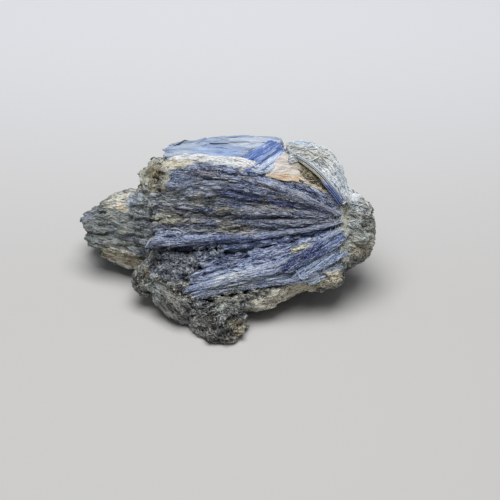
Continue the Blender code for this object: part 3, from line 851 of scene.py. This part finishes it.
# The right shoulder: thin curved blades that sweep over the dome
crest = {
    "arch": ((20.5, 34.2), (29.6, 33.4), (36.8, 27.6), (40.2, 18.6), (41.6, 8.6)),
    "depths": (0, -5, -10, -15, -18),
    "relief": ((1.2, (3.2, 3.2, 1.4), 1.2, 9), (0.4, 1.7, 7.1), (0.25, 0.8, 6.1)),
    "laths": (
        (400, (0.4, 1.1), (3, 9), (0.3, 0.6), (-0.1, 0.4), 0.4, 0.14),
        (1900, (0.15, 0.4), (1.4, 5), (0.15, 0.35), (0, 0.5), 0.5, 0.22),
        (1300, (0.12, 0.28), (0.8, 3), (0.12, 0.26), (0.1, 0.6), 0.6, 0.3),
    ),
    "colour": (188, 192, 193),
    "clouds": ((5, 0.2, (156, 168, 186), 0.6), (4, 0.2, (206, 208, 208), 0.6), (4, 0.28, (150, 152, 140), 0.5)),
    "mixed": ((0.12, (150, 164, 186), 0.5), (0.15, (206, 208, 208), 0.5), (0.06, (104, 112, 126), 0.5)),
    "blades": (  # the long crisp blades along its front: knots, width, thickness, colour
        (((22.6, 29.6, 0.8), (27.4, 26.6, 1.4), (32.4, 21.9, 1.9), (37.9, 15.4, 1.9)), 0.9, 0.8, (160, 168, 178)),
        (((23.4, 28, 0.6), (27.6, 25, 1.2), (31, 21.8, 1.6), (33.4, 18.9, 1.7)), 0.6, 0.7, (176, 172, 156)),
        (((31.6, 21.2, 1.3), (33.6, 18.8, 1.8), (35.6, 16.4, 2), (38, 13, 1.9)), 1.3, 0.9, (54, 88, 160)),
        (((34.4, 20.6, 1.8), (36.4, 17.8, 2), (38.2, 14.4, 2)), 0.8, 0.7, (120, 138, 176)),
    ),
    "splits": (-0.44, -0.22, 0, 0.22, 0.44),  # each is split lengthwise at these shares of its width
    "patches": (
        ((22, 33.5, -2), (28, 33.8, -3), 1.6, (158, 172, 188), 0.6),
        ((37, 24, -1), (39.6, 14, -1), 2.2, (160, 170, 182), 0.5),
        ((24, 30, -1), (30, 29, -1), 2.2, (184, 184, 174), 0.6),
    ),
}


def buildCrest():
    draw = np.random.default_rng(12)
    flow = Flow([[(right, up, depth) for right, up in crest["arch"]] for depth in crest["depths"]])
    body = bodyOf("crest_blade_spray", 0.35)
    near = np.clip(1 - capsule(body.places, (22, 28, 0), (37, 13, 0), 5), 0, 1)[:, None]
    places = body.places = body.places + near * (1.6, 1.4, 0)  # draws its front edge back over the hollow
    body.push(relief(places, crest["relief"]) - 0.25)
    baseAt, patches = driftingOver(crest, np.asarray), crest["patches"]
    newPiece("crest_body", body.mesh, places, flow.grain(places), body.tintAndShade, baseAt(places), patches, whiteBlue,
             ["crest_blade_spray"])
    felts = [feltOf(body, flow.way, draw, *laths, mixed=crest["mixed"], pitch=0.06) for laths in crest["laths"]]
    layLaths("crest_blades", felts, baseAt, patches, whiteBlue, draw)
    strips = []
    for knots, width, thick, colour in crest["blades"]:
        side = unitLength(np.cross((0, 0, 1), np.subtract(knots[-1], knots[0])))
        for share in crest["splits"]:
            shifted = np.array(knots) + side * share * width + draw.normal(0, 0.06, 3)
            strips.append((shifted, width * 0.32, thick, np.array(colour) * draw.uniform(0.66, 1.16)))
    layLaths("crest_edge_blades", [bladeSet(strips, draw, 12)], baseAt, (), whiteBlue, draw)
    return body


# The left lobe: a bundle of grey-green fibres
bundle = {
    "slip": 0.15,
    "folds": ((1, (9, 2.4, 3), 1.2, 0.35), (0.4, (3, 0.9, 1.2), 6.1, 9)),
    "lumps": ((1, (4, 2.6, 2.8), 3.4), (0.4, 1.3, 6.6)),
    "sunk": 0.6,
    "toneAndShade": 0.22,
    "laths": (
        (440, (0.5, 1.3), (1.6, 5), (0.4, 0.9), (-0.4, 0.2), 0.5, 0.22),
        (1900, (0.2, 0.5), (1, 3.2), (0.22, 0.45), (-0.15, 0.3), 0.6, 0.28),
        (1550, (0.18, 0.4), (0.6, 1.8), (0.16, 0.34), (0, 0.3), 0.7, 0.36),
    ),
    "colour": (108, 112, 110),
    "clouds": (
        ((7, 3, 3), 0.15, (122, 128, 130), 0.6), ((6, 2.5, 3), 0.2, (84, 90, 94), 0.6),
        ((5, 3, 3), 0.25, (124, 124, 106), 0.6), ((8, 2, 3), 0.25, (112, 120, 138), 0.6),
    ),
    "mixed": ((0.08, (140, 146, 150), 0.4), (0.08, (136, 134, 120), 0.4), (0.08, (66, 72, 78), 0.4)),
    "patches": (
        ((-41, 14, -17), (-31, 17.2, -19), 2.4, (194, 193, 184), 0.9),
        ((-36, 15.2, -15), (-31, 16.2, -16), 1.4, (192, 183, 166), 0.85),
        ((-38.4, 12.8, -14), (-36.2, 12, -13), 1.5, (196, 184, 162), 0.8),
        ((-34, 13.8, -14.5), (-29, 12.6, -14.5), 2.4, (164, 175, 188), 0.85),
        ((-40.4, 8.2, -15.5), (-38.8, 7.6, -15.5), 1.3, (14, 20, 44), 0.95),
        ((-42, -3.8, -17), (-30, -7.6, -17), 2.9, (196, 190, 172), 0.9),
        ((-35, -6.1, -16), (-34, -6.1, -16), 0.8, (168, 122, 100), 0.7),
        ((-48, 4, -20), (-46, 8, -20), 2, (112, 118, 112), 0.5),
    ),
}


def bundleWays(spots):
    ways = np.tile((1, -0.17, 0.05), (len(spots), 1))
    narrowing = np.clip((-34 - spots[:, 0]) / 16, 0, 1)[:, None]
    ways[:, 1:] += narrowing * (spots[:, 1:] - (4.8, -23.5)) * 0.035
    return unitLength(ways)


def bundleGrain(places):
    spread = 1 / (1 - 0.25 * np.clip((-34 - places[:, 0]) / 16, 0, 1))
    return np.stack([places[:, 0], (places[:, 1] + places[:, 0] * 0.17) * spread, places[:, 2]], axis=1)


def buildBundle():
    body, draw = bodyOf("left_blade_bundle", 0.42), np.random.default_rng(31)
    return dressSpray("left_bundle", "blades", body, bundle, bundleGrain, bundleWays, driftingOver(bundle, bundleGrain),
                      greyGreen, draw, "left_blade_bundle", pitch=0.03, shun=(-1, 0, 0))


# The mica schist that holds it all together
matrix = {
    "voxel": 0.5,
    "colour": (112, 113, 108),
    "clouds": (
        (7, 0.2, (146, 143, 128), 0.5), (4, 0.26, (168, 169, 164), 0.6), (3.5, 0.24, (78, 80, 86), 0.6),
        (6, 0.3, (126, 138, 158), 0.6),
    ),
    "relief": ((0.7, 7, 3.2), (0.5, 1.9, 8.8), (0.9, 1.4, 5.2, 9), (0.3, 0.9, 1.1)),
    "patches": (
        ((-14, 26.6, -2), (10, 25.4, -1), 2.2, (204, 200, 190), 0.85),
        ((-21, 26.8, -4), (-15, 26.6, -2), 2.2, (198, 186, 162), 0.9),
        ((-27, 22, -6), (-24, 20, -6), 4.5, (136, 137, 124), 0.7),
        ((-25, 23.2, -2), (-24.2, 19.4, -2), 3.2, (118, 108, 82), 0.7),
        # dark brown, with painted shade of the pit
        ((-24.4, 22.2, -2), (-23.8, 20, -2), 1.7, (66, 54, 28), 0.9),
        ((26.8, 23.4, -3), (28.4, 21, -3), 2.6, (150, 138, 100), 0.9),
        ((38.6, 12, 0), (38.4, -5, 0), 2, (166, 172, 164), 0.7),
        ((45, 12, -5), (46, -2, -4), 5.5, (140, 143, 136), 0.75),
        ((44, -3, -1), (47, -2, -2), 2.6, (156, 147, 126), 0.7),
        ((41, 16, -4), (44, 11, -4), 2.8, (176, 183, 190), 0.75),
        ((26, -11.5, 1), (36, -6, 1), 3.4, (116, 128, 152), 0.75),
        ((9, -21.6, 1), (22, -16.4, 1), 2.8, (200, 195, 180), 0.9),
        ((22, -16.4, 1), (36, -11.6, 0), 2.4, (200, 192, 168), 0.9),
        ((-22, -4, 0), (-8, -9, 0), 5, (80, 87, 104), 0.7),
        ((0, -6, 0), (24, -4, 0), 5, (112, 122, 148), 0.85),
        ((-30, -12, -4), (-27, -14, -4), 3.5, (80, 80, 73), 0.7),
        ((-26, -15.4, -1), (-25, -16, -1), 2, (146, 154, 152), 0.8),
        ((-10, -22, 3), (0, -31, 3), 8, (69, 67, 62), 0.75),
        ((-12, -20.4, 2), (4, -21.6, 3), 3.4, (76, 77, 77), 0.85),
        ((2.2, -28, 6), (4, -31, 6), 2.8, (128, 120, 98), 0.6),
        ((3.2, -29, 6), (3.8, -30, 6), 0.9, (150, 122, 78), 0.7),
        ((5, -25.6, 4), (6, -30, 4), 1.8, (138, 130, 110), 0.7),
        # near black: painted shade in the pit under the lower spray's tip
        ((-9.8, -19, 2), (-5.6, -18.8, 2), 1.5, (24, 26, 34), 0.95),
        ((-28.4, 15, -5), (-28.4, -2, -6), 4.4, (128, 132, 131), 0.9),
    ),
    "rugged": ((-16, -8, 0), (0, -30, 0), 13),  # where it is roughest
    "blocky": ((45, 12, -5), (46, -3, -4), 6),  # the cap of larger crystals at the right
    "bare": ((-28.5, 16, -5), (-28.5, -3, -5), 4.5),  # no crumbs here
    "reshaped": (  # start, end, radius, mm in or out
        ((42, -11, 0), (47, -7.5, 0), 3.6, -2.4), ((-17, -25.5, 0), (-12.5, -30, 0), 3.4, 1.3),
    ),
    "felts": (  # where the rock is fibrous, laths, own colours, and which way
        (((-22, -3, 0), (6, -8, 0), 7), (1500, (0.22, 0.6), (0.8, 3), (0.2, 0.5), (-0.1, 0.3), 0.6, 0.35),
         ((0.3, (116, 128, 154), 0.6), (0.2, (62, 67, 82), 0.6), (0.1, (168, 176, 190), 0.5)), fromApex),
        (((2, -5, 0), (30, -2, 0), 5), (1700, (0.22, 0.7), (1.6, 6), (0.2, 0.5), (-0.1, 0.3), 0.6, 0.14),
         ((0.4, (120, 132, 162), 0.7), (0.2, (152, 162, 182), 0.6), (0.12, (66, 74, 98), 0.6)), fromApex),
        (((24, -12, 1), (36, -6, 1), 4), (900, (0.2, 0.6), (1, 3.5), (0.2, 0.45), (-0.1, 0.3), 0.6, 0.3),
         ((0.5, (122, 136, 162), 0.7), (0.2, (174, 180, 188), 0.6)), steady(-1, -0.3, 0)),
        (((8, -21, 1), (36, -12, 0), 3.4), (1200, (0.2, 0.55), (0.9, 3.4), (0.15, 0.4), (-0.1, 0.3), 0.6, 0.16),
         ((0.25, (164, 158, 138), 0.6), (0.15, (184, 180, 166), 0.6), (0.15, (104, 101, 90), 0.5)), steady(1, 0.4, 0)),
        (((-22, -20, -2), (-7, -33, 0), 5.5), (1000, (0.22, 0.7), (1.2, 4.5), (0.2, 0.5), (-0.1, 0.3), 0.6, 0.2),
         ((0.2, (122, 124, 122), 0.6), (0.2, (58, 60, 62), 0.6)), steady(1, -0.85, 0.1)),
        (((-28, 15, -5), (-28, -2, -5), 4), (800, (0.2, 0.6), (0.9, 3.2), (0.2, 0.5), (-0.1, 0.3), 0.6, 0.15),
         ((0.3, (150, 155, 154), 0.6), (0.12, (80, 85, 90), 0.6)), steady(1, -0.17, 0)),
        (((42, 13, -3), (44.5, -6, -3), 5.6), (620, (0.5, 1.5), (1.4, 4.4), (0.3, 0.8), (-0.1, 0.3), 0.6, 0.22),
         ((0.3, (164, 169, 164), 0.6), (0.2, (158, 166, 180), 0.5), (0.15, (104, 104, 92), 0.6)), steady(1, -0.25, 0)),
    ),
    "needles": (2350, (0.16, 0.42), (0.7, 2.6), (0.16, 0.4), (-0.1, 0.3), 0.6, 0.45),  # all over
    "mixed": ((0.16, (156, 156, 148), 0.55), (0.16, (58, 58, 58), 0.55), (0.05, (124, 138, 162), 0.5)),
    "crumbs": 8500,
}


def buildMatrix():
    draw = np.random.default_rng(3)
    body = bodyOf("mica_matrix", matrix["voxel"])
    world = toWorld(body.places) / mm
    border, own = crystals(world, 4.2)
    small = crystals(world, 1.9)[1]
    push = 0.9 * (own - 0.5) + 0.6 * (small - 0.5) - 0.6 * np.clip(1 - border * 3.2, 0, 1)
    push += relief(world, matrix["relief"]) - 0.18
    rugged, blocky = (np.clip(1.2 - capsule(body.places, *matrix[where]), 0, 1) for where in ("rugged", "blocky"))
    push = np.clip(push * (0.7 + 0.8 * rugged) - 0.15 + 0.9 * blocky * (own - 0.5), -1.8, 0.8)
    for start, end, radius, depth in matrix["reshaped"]:
        push += depth * np.clip(1.4 - capsule(body.places, start, end, radius), 0, 1)
    body.push(push * np.clip((world[:, 2] - 0.4) / 1.2, 0, 1))  # the underside stays level where it stands
    body.tintAndShade += 0.12 * blocky
    baseAt, patches = driftingOver(matrix, lambda places: toWorld(places) / mm), matrix["patches"]
    body.show("schist_rock", body.places, baseAt, patches, schist, "mica_matrix")

    sparse = 1 - 0.92 * np.clip(1.2 - capsule(body.centres, *matrix["blocky"]), 0, 1)
    sparse *= 1 - 0.95 * np.clip(1.4 - capsule(body.centres, *matrix["bare"]), 0, 1)
    scatterCrumbs("schist_crumbs", body, matrix["crumbs"], draw, baseAt, patches, schist, weight=sparse)
    felts = [feltOf(body, wayAt, draw, *laths, spot=spot, mixed=mixed, pitch=0.06, stations=3)
             for spot, laths, mixed, wayAt in matrix["felts"]]
    layLaths("schist_fibres", felts, baseAt, patches, fibres, draw)
    needles = feltOf(body, swirl(11, 5), draw, *matrix["needles"], mixed=matrix["mixed"], pitch=0.06, stations=3)
    layLaths("schist_needles", [needles], baseAt, patches, fibres, draw)
    return body


# Long blades that fill the valley between the two sprays, edge the fan and lead back to the lobe
valley = {
    "blades": (  # knots on their backs, width, thickness, colour
        (((23.6, 26.6, -0.5), (27.2, 23.4, -0.5), (31.6, 18.6, -0.4)), 5, 5, (128, 116, 82)),
        (((12.5, 22.8, 0.6), (4, 24.4, 0.8), (-4, 25.5, 1), (-14, 26, 0.8)), 2.2, 4, (108, 120, 150)),
        (((22.6, 22, -0.4), (27.2, 20.4, -0.4), (32.6, 17.4, -0.2)), 1.8, 4, (202, 187, 158)),
        (((-24, 13.6, -1.4), (-27.6, 14, -3.8), (-31.6, 14.6, -10)), 3.4, 4, (140, 148, 156)),
        (((-24, 10.2, -2.2), (-27.6, 10.6, -5), (-31.6, 11.2, -10.6)), 3.6, 4, (120, 125, 126)),
        (((-24, 6.8, -2.6), (-27.6, 7.2, -6), (-31.6, 7.8, -11.4)), 3.6, 4, (108, 112, 112)),
        (((-24, 3.2, -3), (-27.6, 3.8, -6.8), (-31.6, 4.4, -11.8)), 3.6, 4, (112, 116, 116)),
        (((-24.4, -0.4, -3.4), (-28, 0.2, -7.4), (-31.6, 0.8, -12)), 3.2, 4, (98, 102, 104)),
        (((-18, 15.4, -0.2), (-22.5, 15.9, -0.5), (-25.2, 16.2, -2)), 2.4, 4, (116, 120, 118)),
        (((-18, 12, 0.2), (-22.5, 12.6, 0), (-25.4, 12.9, -1)), 3, 4, (102, 104, 104)),
        (((-18, 8.8, -0.6), (-22.5, 9, -0.7), (-25.2, 9, -1.2)), 3.2, 4, (118, 117, 106)),
        (((-18, 5.2, 0), (-22.5, 5.4, 0), (-25, 5.2, -1)), 3, 4, (100, 102, 106)),
        (((-16, 2.2, 2.8), (-20, 2.2, 2.4), (-23.8, 1.8, 1)), 2.4, 4, (122, 131, 150)),
        (((38.4, 11.4, 0.6), (32, 14.8, 0.8), (24.5, 17.8, 0.7), (15, 20.4, 0.4)), 2.8, 5, (94, 102, 126)),
        (((38.2, 13.6, 0.2), (34, 15.6, 0.2), (28, 18, 0.1), (22, 19.8, 0)), 1.8, 4.5, (104, 112, 132)),
        (((37.4, 5.8, 0.6), (28, 3, 1.6), (16, 0.2, 2.1), (4, -1.6, 1.8), (-3, -2.2, 0.8)), 2.4, 5, (84, 99, 134)),
        (((36.8, 3.4, 0.6), (27, 0.6, 1.8), (16, -2.4, 2.2), (4, -4.6, 1.4)), 3, 4.5, (128, 140, 168)),
        (((33, 0.8, 0.4), (24, -2.2, 1.4), (14, -5.2, 2), (3, -7.2, 1.2)), 2.8, 4.5, (138, 150, 178)),
        (((22, -3.8, 0.8), (12, -7.4, 2), (1, -9.4, 1.6), (-8, -11, 0.8)), 3, 4.5, (136, 146, 170)),
        (((5, -5.2, 0.6), (-4, -6, 1.2), (-10, -6.4, 0.8)), 3.6, 4.5, (86, 97, 124)),
        (((2, -7.8, 1), (-6, -9.8, 1.4), (-12, -11.8, 0.8)), 2.4, 4.5, (120, 130, 156)),
        (((8, -8.8, 2.4), (-3, -11.6, 2.6), (-13, -13.6, 1.8)), 3, 5, (134, 145, 168)),
    ),
    "slip": 1.4,
    "folds": ((1.4, (12, 1.5, 3), 1.2, 0.35), (0.6, (5, 0.7, 2), 6.1, 9)),
    "lumps": ((0.9, 2.6, 4.4), (0.3, 0.9, 2.8)),
    "sunk": 0.45,
    "toneAndShade": 0.3,
    "laths": (
        (380, (0.6, 1.6), (2, 5), (0.3, 0.8), (-0.1, 0.5), 0.5, 0.15),
        (2100, (0.2, 0.5), (0.7, 2.8), (0.2, 0.45), (-0.1, 0.5), 0.6, 0.3),
    ),
    "mixed": (
        (0.14, (160, 170, 192), 0.5), (0.05, (176, 172, 158), 0.5), (0.1, (70, 84, 124), 0.5),
        (0.1, (60, 66, 80), 0.5),
    ),
    "patches": (
        ((21.5, -2.9, 2), (26.5, -1.2, 2), 1, (208, 198, 172), 0.95),
        ((26, 14, 0), (36, 9.6, 0), 2.4, (66, 76, 112), 0.4),
        ((25.4, 23, 0), (28.6, 20.8, 0), 1.2, (104, 90, 48), 0.8),
        ((23.6, 26.6, 0), (26, 25.2, 0), 1.6, (160, 154, 126), 0.7),
        ((-26.8, 8.2, 0), (-18, 7.6, 0), 1.4, (154, 151, 130), 0.75),
    ),
}


def dressBlades(name, solids, colours, table, draw, **where):  # the solid blades under one skin, and laths over it
    lines, normals, _, thicks, _, _ = solids
    solids[0] = lines - normals * thicks.mean(axis=1)[:, None, None]
    body, flow = Body(skinned(lathMesh(solids, draw)[0], 0.36)), Flow(list(lines))
    baseAt = nearestTone(flow, colours)
    return dressSpray(name, "blades", body, table, flow.grain, flow.way, baseAt, blue, draw, **where)


def buildValley():
    draw = np.random.default_rng(21)
    colours = [colour for *_, colour in valley["blades"]]
    return dressBlades("valley", bladeSet(valley["blades"], draw, 9), colours, valley, draw, front=-1.5)


# Bundles of blades that crop out of the schist at the back and the sides
outcrops = {
    **valley,
    "bundles": (  # where and which way, in mm in the world, length, width, how many, colour
        ((-4, 30, 31), (1, 0.1, 0.42), 27, 3.4, 3, (98, 109, 132)),
        ((14, 29, 22), (1, 0, 0.2), 22, 2.6, 3, (112, 119, 132)),
        ((27, 28, 33), (0.8, 0, -0.55), 15, 3, 2, (130, 137, 146)),
        ((-15, 29, 18), (0.5, 0, 1), 14, 2.4, 2, (102, 109, 122)),
        ((28, 26, 13), (1, -0.3, 0.1), 18, 3.4, 2, (86, 99, 130)),
        ((48, 6, 20), (0, 0.7, 0.8), 12, 2.6, 2, (110, 118, 132)),
        ((6, 27, 40), (1, 0, 0.06), 17, 2, 2, (122, 131, 146)),
    ),
    "height": 2.6,
    "laths": (
        (180, (0.6, 1.4), (3, 9), (0.3, 0.6), (-0.1, 0.35), 0.35, 0.08),
        (1000, (0.2, 0.5), (1.4, 5), (0.2, 0.4), (-0.1, 0.4), 0.5, 0.12),
    ),
    "patches": (),
}


def buildOutcrops(rock):
    draw = np.random.default_rng(44)
    rows = []
    for spot, way, length, width, count, colour in outcrops["bundles"]:
        way = unitLength(faceAxes @ way)
        beside = unitLength(np.cross(way, faceAxes @ (spot[0] - 10, spot[1], 0)))
        for k in range(count):
            start = toFace(np.array(spot) * mm) + beside * width * 0.8 * (k - (count - 1) / 2)
            start = start - way * length * draw.uniform(0.35, 0.6)
            turned = unitLength(way + draw.normal(0, 0.06, 3))
            rows.append((start, turned, length * draw.uniform(0.7, 1.05), width * draw.uniform(0.75, 1.1), colour))
    starts, ways, lengths, widths, colours = zip(*rows)
    lines, normals = draped(rock.tree, np.array(starts), np.array(ways), np.array(lengths), 9)
    normals = np.repeat(unitLength(normals.mean(axis=1))[:, None], 9, axis=1)
    thicks = tapered(np.full(len(rows), outcrops["height"]), draw, 9)
    widths = tapered(np.array(widths), draw, 9)
    solids = [lines + normals * 0.5, normals, widths, thicks, np.full(len(rows), 0.5), np.zeros((len(rows), 4))]
    dressBlades("outcrop", solids, colours, outcrops, draw)


# Rough crusts and lumps along the seams between the blades and the rock: light ones, and dark ones low on the front
seamCrusts = {
    "bands": (  # knots, radii of the lumps, their shape, how far they stray, how many, colour
        (((-17, 27.9, -0.4), (-12, 28.3, 0), (-5, 27.9, 0.4)), (0.45, 0.8), (3, 1, 0.8), (1.4, 0.4, 0.3), 130,
         (236, 238, 240)),
        (((-7, 28, 0.6), (-1, 27.4, 0.8), (4, 26.3, 1), (8, 24.7, 0.9)), (0.5, 0.9), (3.2, 1, 0.8), (1.2, 0.55, 0.3),
         190, (248, 249, 252)),
        (((-24, 23.8, -1), (-21, 25.6, 0.6), (-18, 26.6, 1), (-14, 27.4, 0.6)), (0.35, 0.85), (1.8, 1, 0.7),
         (1.1, 0.8, 0.35), 130, (184, 179, 162)),
        (((39.2, 15, -0.6), (38.8, 9.5, 0.4), (38.4, 4, 0.6), (38.6, -2, 0.4), (38.4, -6.5, -0.6)), (0.4, 1),
         (0.8, 1.7, 0.8), (0.8, 1, 0.4), 130, (146, 147, 135)),
        (((37.6, 13.6, 0.6), (36.6, 9.4, 1.2), (36.2, 5.6, 1.4), (36.8, 1.4, 1.6)), (0.25, 0.6), (2.2, 0.9, 0.7),
         (1.2, 1, 0.3), 90, (118, 126, 136)),
        (((7.2, 24.2, 1.2), (10.5, 23.8, 1), (14, 25, 0.2), (17.6, 28.2, -2.2), (19.2, 30.4, -4.6)), (0.35, 0.6),
         (1.6, 1.2, 0.7), (0.3, 0.25, 0.15), 110, (182, 191, 204)),
        (((24.6, 25, -2), (26.4, 23.4, -2.2), (28.2, 21.2, -2), (30.6, 18.8, -1.2)), (0.3, 0.6), (1.3, 1, 0.6),
         (1.1, 1, 0.4), 60, (140, 126, 90)),
        (((-25.8, 25.8, -3.4), (-28, 23.6, -3.4), (-27.8, 20.4, -3), (-26.6, 18.2, -2.6)), (0.5, 1.2), (1, 1, 1),
         (0.8, 0.8, 0.5), 110, (146, 146, 132)),
        (((-20.8, 23.6, 0.8), (-21.2, 20.8, 1.2), (-22.4, 18.4, 0.6)), (0.4, 1), (1, 1.1, 0.9), (0.4, 0.6, 0.4), 70,
         (150, 152, 142)),
        (((39.8, 17, -2.6), (42.6, 14.4, -2.2), (45.2, 11.8, -2.6)), (0.5, 1.1), (1.8, 1, 1), (0.7, 0.6, 0.5), 90,
         (194, 198, 202)),
        (((-18.4, 30.6, -12.4), (-10.8, 33, -14.9), (-0.8, 33.3, -16), (9.2, 33.2, -15.9), (18.2, 32, -15.1),
          (21.2, 31, -11)), (0.5, 1.3), (1.6, 1, 1), (1.4, 0.5, 0.5), 190, (138, 139, 130)),
        (((-21.4, 26.6, -2.2), (-21.2, 29, -5.6), (-18.8, 30.4, -10.4)), (0.4, 0.9), (1, 1.3, 1), (0.4, 0.8, 0.7), 80,
         (160, 160, 150)),
    ),
    "patches": (
        ((38.5, 3, 0), (38.5, 6, 0), 1.6, (172, 180, 176), 0.6),
        ((38.5, 12, 0), (38.8, 14, 0), 1.5, (112, 108, 92), 0.7),
        ((-6, 27, 0), (2, 26, 1), 1.2, (190, 199, 214), 0.6),
        ((26.4, 23.6, -2), (28.6, 21, -2), 1.3, (122, 106, 62), 0.8),
        ((28.6, 19.4, 0), (31, 18.4, 0), 1, (204, 190, 164), 0.8),
        ((-25, 23.2, -2), (-24.2, 19.4, -2), 3.2, (118, 108, 82), 0.7),
        # dark brown, with painted shade of the pit
        ((-24.4, 22.2, -2), (-23.8, 20, -2), 1.7, (66, 54, 28), 0.9),
    ),
    "toneAndShade": 0.17,
    "relief": 0.22,
    "crumbs": 2600,
    "laths": (2250, (0.16, 0.4), (1, 3.4), (0.1, 0.24), (0, 0.22), 0.4, 0.2),
    "pitch": 0.06,
    "mixed": ((0.1, (170, 180, 196), 0.5), (0.1, (214, 214, 212), 0.5)),
}
frontCrusts = {
    "bands": (
        (((-23, -4.5, -1), (-17, -5.2, -0.2), (-12.6, -8.4, 0.2), (-18, -10.6, -0.2), (-24, -9.4, -1.6)), (0.5, 1.4),
         (1.3, 1, 0.9), (1.7, 1.5, 0.5), 190, (84, 90, 104)),
        (((-10.8, -3.2, 0.4), (-7.2, -2.8, 1), (-4.6, -3.8, 0.8), (-6.6, -5.6, 0.8)), (0.7, 1.5), (1.2, 1, 1),
         (0.9, 0.7, 0.3), 80, (72, 84, 112)),
        (((-31.4, -11, -6), (-31.4, -14.6, -6.6), (-29, -17.2, -6.6)), (0.5, 1.3), (1, 1, 1), (0.7, 0.8, 0.9), 110,
         (74, 74, 67)),
        (((-3, -19.3, 2), (3, -18.2, 2.5), (8.5, -16.9, 2.3), (13, -16.8, 1.6)), (0.4, 1.1), (1.3, 1, 0.8),
         (1.3, 0.8, 0.4), 90, (128, 128, 120)),
        (((-11, -21.4, 1.2), (-4, -21.8, 2.6), (3, -23, 2.8)), (0.5, 1.3), (1.2, 1, 0.9), (1.8, 1.3, 0.6), 110,
         (79, 80, 79)),
    ),
    "patches": (
        ((-13, -12.6, 0), (-9, -11.6, 0), 1.6, (128, 134, 138), 0.5),
        # near black: painted shade in the pit under the lower spray's tip
        ((-9.8, -19, 2), (-5.6, -18.8, 2), 1.4, (24, 26, 34), 0.95),
    ),
    "toneAndShade": 0.42,
    "relief": 1,
    "crumbs": 3200,
    "laths": (1700, (0.18, 0.45), (0.7, 2.6), (0.14, 0.34), (0, 0.35), 0.6, 0.45),
    "pitch": 0.08,
    "mixed": ((0.18, (132, 142, 162), 0.5), (0.12, (64, 68, 80), 0.5)),
}


def seated(spots, reach, grounds):  # draws each spot to within its reach of the nearest surface
    found = np.stack([nearestOn(tree, spots)[0] for tree in grounds])
    gaps = np.linalg.norm(found - spots, axis=2)
    nearest, gap = found[gaps.argmin(axis=0), np.arange(len(spots))], gaps.min(axis=0)
    return nearest + (spots - nearest) * np.minimum(1, reach / np.maximum(gap, 1e-6))[:, None]


def buildCrusts(name, crust, grounds, rough, fibrous):
    draw = np.random.default_rng(17)
    spots, sizes = [], []
    for knots, radii, shape, stray, count, _ in crust["bands"]:
        line = pathLine(knots)
        spots.append(line[draw.integers(len(line), size=count)] + draw.normal(0, 1, (count, 3)) * stray)
        sizes.append(draw.uniform(*radii, (count, 1)) * shape)
    spots, sizes = np.concatenate(spots), np.concatenate(sizes)
    template = shaped("lump", bmesh.ops.create_icosphere, subdivisions=1, radius=1)
    unit = vectorsOf(template.vertices, "co")
    places = seated(spots, sizes.mean(axis=1) * 0.45, grounds)[:, None] + unit * sizes[:, None]
    body = Body(skinned(copies(template, places), 0.32))
    own = crystals(body.places, (2, 1.3, 1.3))[1]
    heights = relief(body.places, ((0.5, (2.2, 1.2, 1.2), 3.2, 9), (0.3, 0.7, 4.4)))
    body.push((0.8 * (own - 0.5) + heights - 0.1) * crust["relief"], crust["toneAndShade"])

    flow = Flow([band[0] for band in crust["bands"]])
    baseAt, patches = nearestTone(flow, [band[5] for band in crust["bands"]]), crust["patches"]
    body.show(f"{name}_crusts", body.places, baseAt, patches, rough)
    scatterCrumbs(f"{name}_crumbs", body, crust["crumbs"], draw, baseAt, patches, rough, size=0.7)
    laths = feltOf(body, flow.way, draw, *crust["laths"], mixed=crust["mixed"], pitch=crust["pitch"], stations=3)
    layLaths(f"{name}_fibres", [laths], baseAt, patches, fibrous, draw)


# Stage, lights and camera
view = {
    "focus": (7, -2.56, -4),  # right, up and out of the face
    "distance": 0.62,
    "frame": 0.17065,  # width of the view at the focus, in metres
}
stage = {
    # The floor is painted darker and warmer near the camera and lighter and cooler further back: painted light falloff
    # and warm bounce light
    "near": (0.535, 0.528, 0.518, 1),
    "far": (0.72, 0.735, 0.77, 1),
    "turns": (-0.02, 0.22),  # where the painted light falloff runs, from near to far, in metres
    "sky": (0.94, 0.96, 1, 1),
    "skyStrength": 0.16,
    "lamp": (-0.02, -0.04, 0.8),
    "lampSize": 0.6,
    "lampPower": 7.4,
}


def buildStage():
    mesh = shaped("floor", bmesh.ops.create_grid, x_segments=8, y_segments=8, size=2)
    floor = link(bpy.data.objects.new("floor", mesh))
    finish = Finish("paperFloor")
    place = finish.node("TexCoord", {}, {}, "Object")
    depth = finish.node("SeparateXYZ", {}, {"Vector": place}, "Y")
    # painted light falloff across the floor, from near to far
    colour = finish.blend(finish.between(depth, *stage["turns"]), stage["near"], stage["far"])
    mesh.materials.append(finish.settle(colour, 0.8))

    world = bpy.data.worlds.new("studio")
    bpy.context.scene.world = world
    world.use_nodes = True
    sky = world.node_tree.nodes["Background"].inputs
    sky["Color"].default_value = stage["sky"]
    sky["Strength"].default_value = stage["skyStrength"]
    light = bpy.data.lights.new("overhead", "AREA")
    light.size = stage["lampSize"]
    light.energy = stage["lampPower"]
    lamp = link(bpy.data.objects.new("overhead", light))
    lamp.location = stage["lamp"]
    lamp.rotation_mode = "QUATERNION"
    lamp.rotation_quaternion = lamp.location.to_track_quat("Z", "Y")

    camera = link(bpy.data.objects.new("camera", bpy.data.cameras.new("camera")))
    camera.data.angle = 2 * math.atan(view["frame"] / 2 / view["distance"])
    camera.data.dof.use_dof = False
    turn = Matrix(faceAxes.T.tolist()).to_4x4()
    spot = toWorld(view["focus"]) + faceAxes[2] * view["distance"]
    camera.matrix_world = Matrix.Translation(spot.tolist()) @ turn
    bpy.context.scene.camera = camera
    bpy.context.scene.view_settings.view_transform = "Standard"


rock = buildMatrix()
bodies = [rock, buildFan(), buildLower(), buildPlates("pale", palePlates, paleBlue)]
bodies += [buildPlates("royal", royalPlates, royal), buildFeldspar(), buildCrest(), buildBundle(), buildValley()]
buildOutcrops(rock)
grounds = [body.tree for body in bodies]
buildCrusts("seam", seamCrusts, grounds, crusty, ("mica_schist", whiteBlue[1]))
buildCrusts("front", frontCrusts, grounds, schist, fibres)
buildStage()
print("stage, lights and camera set")
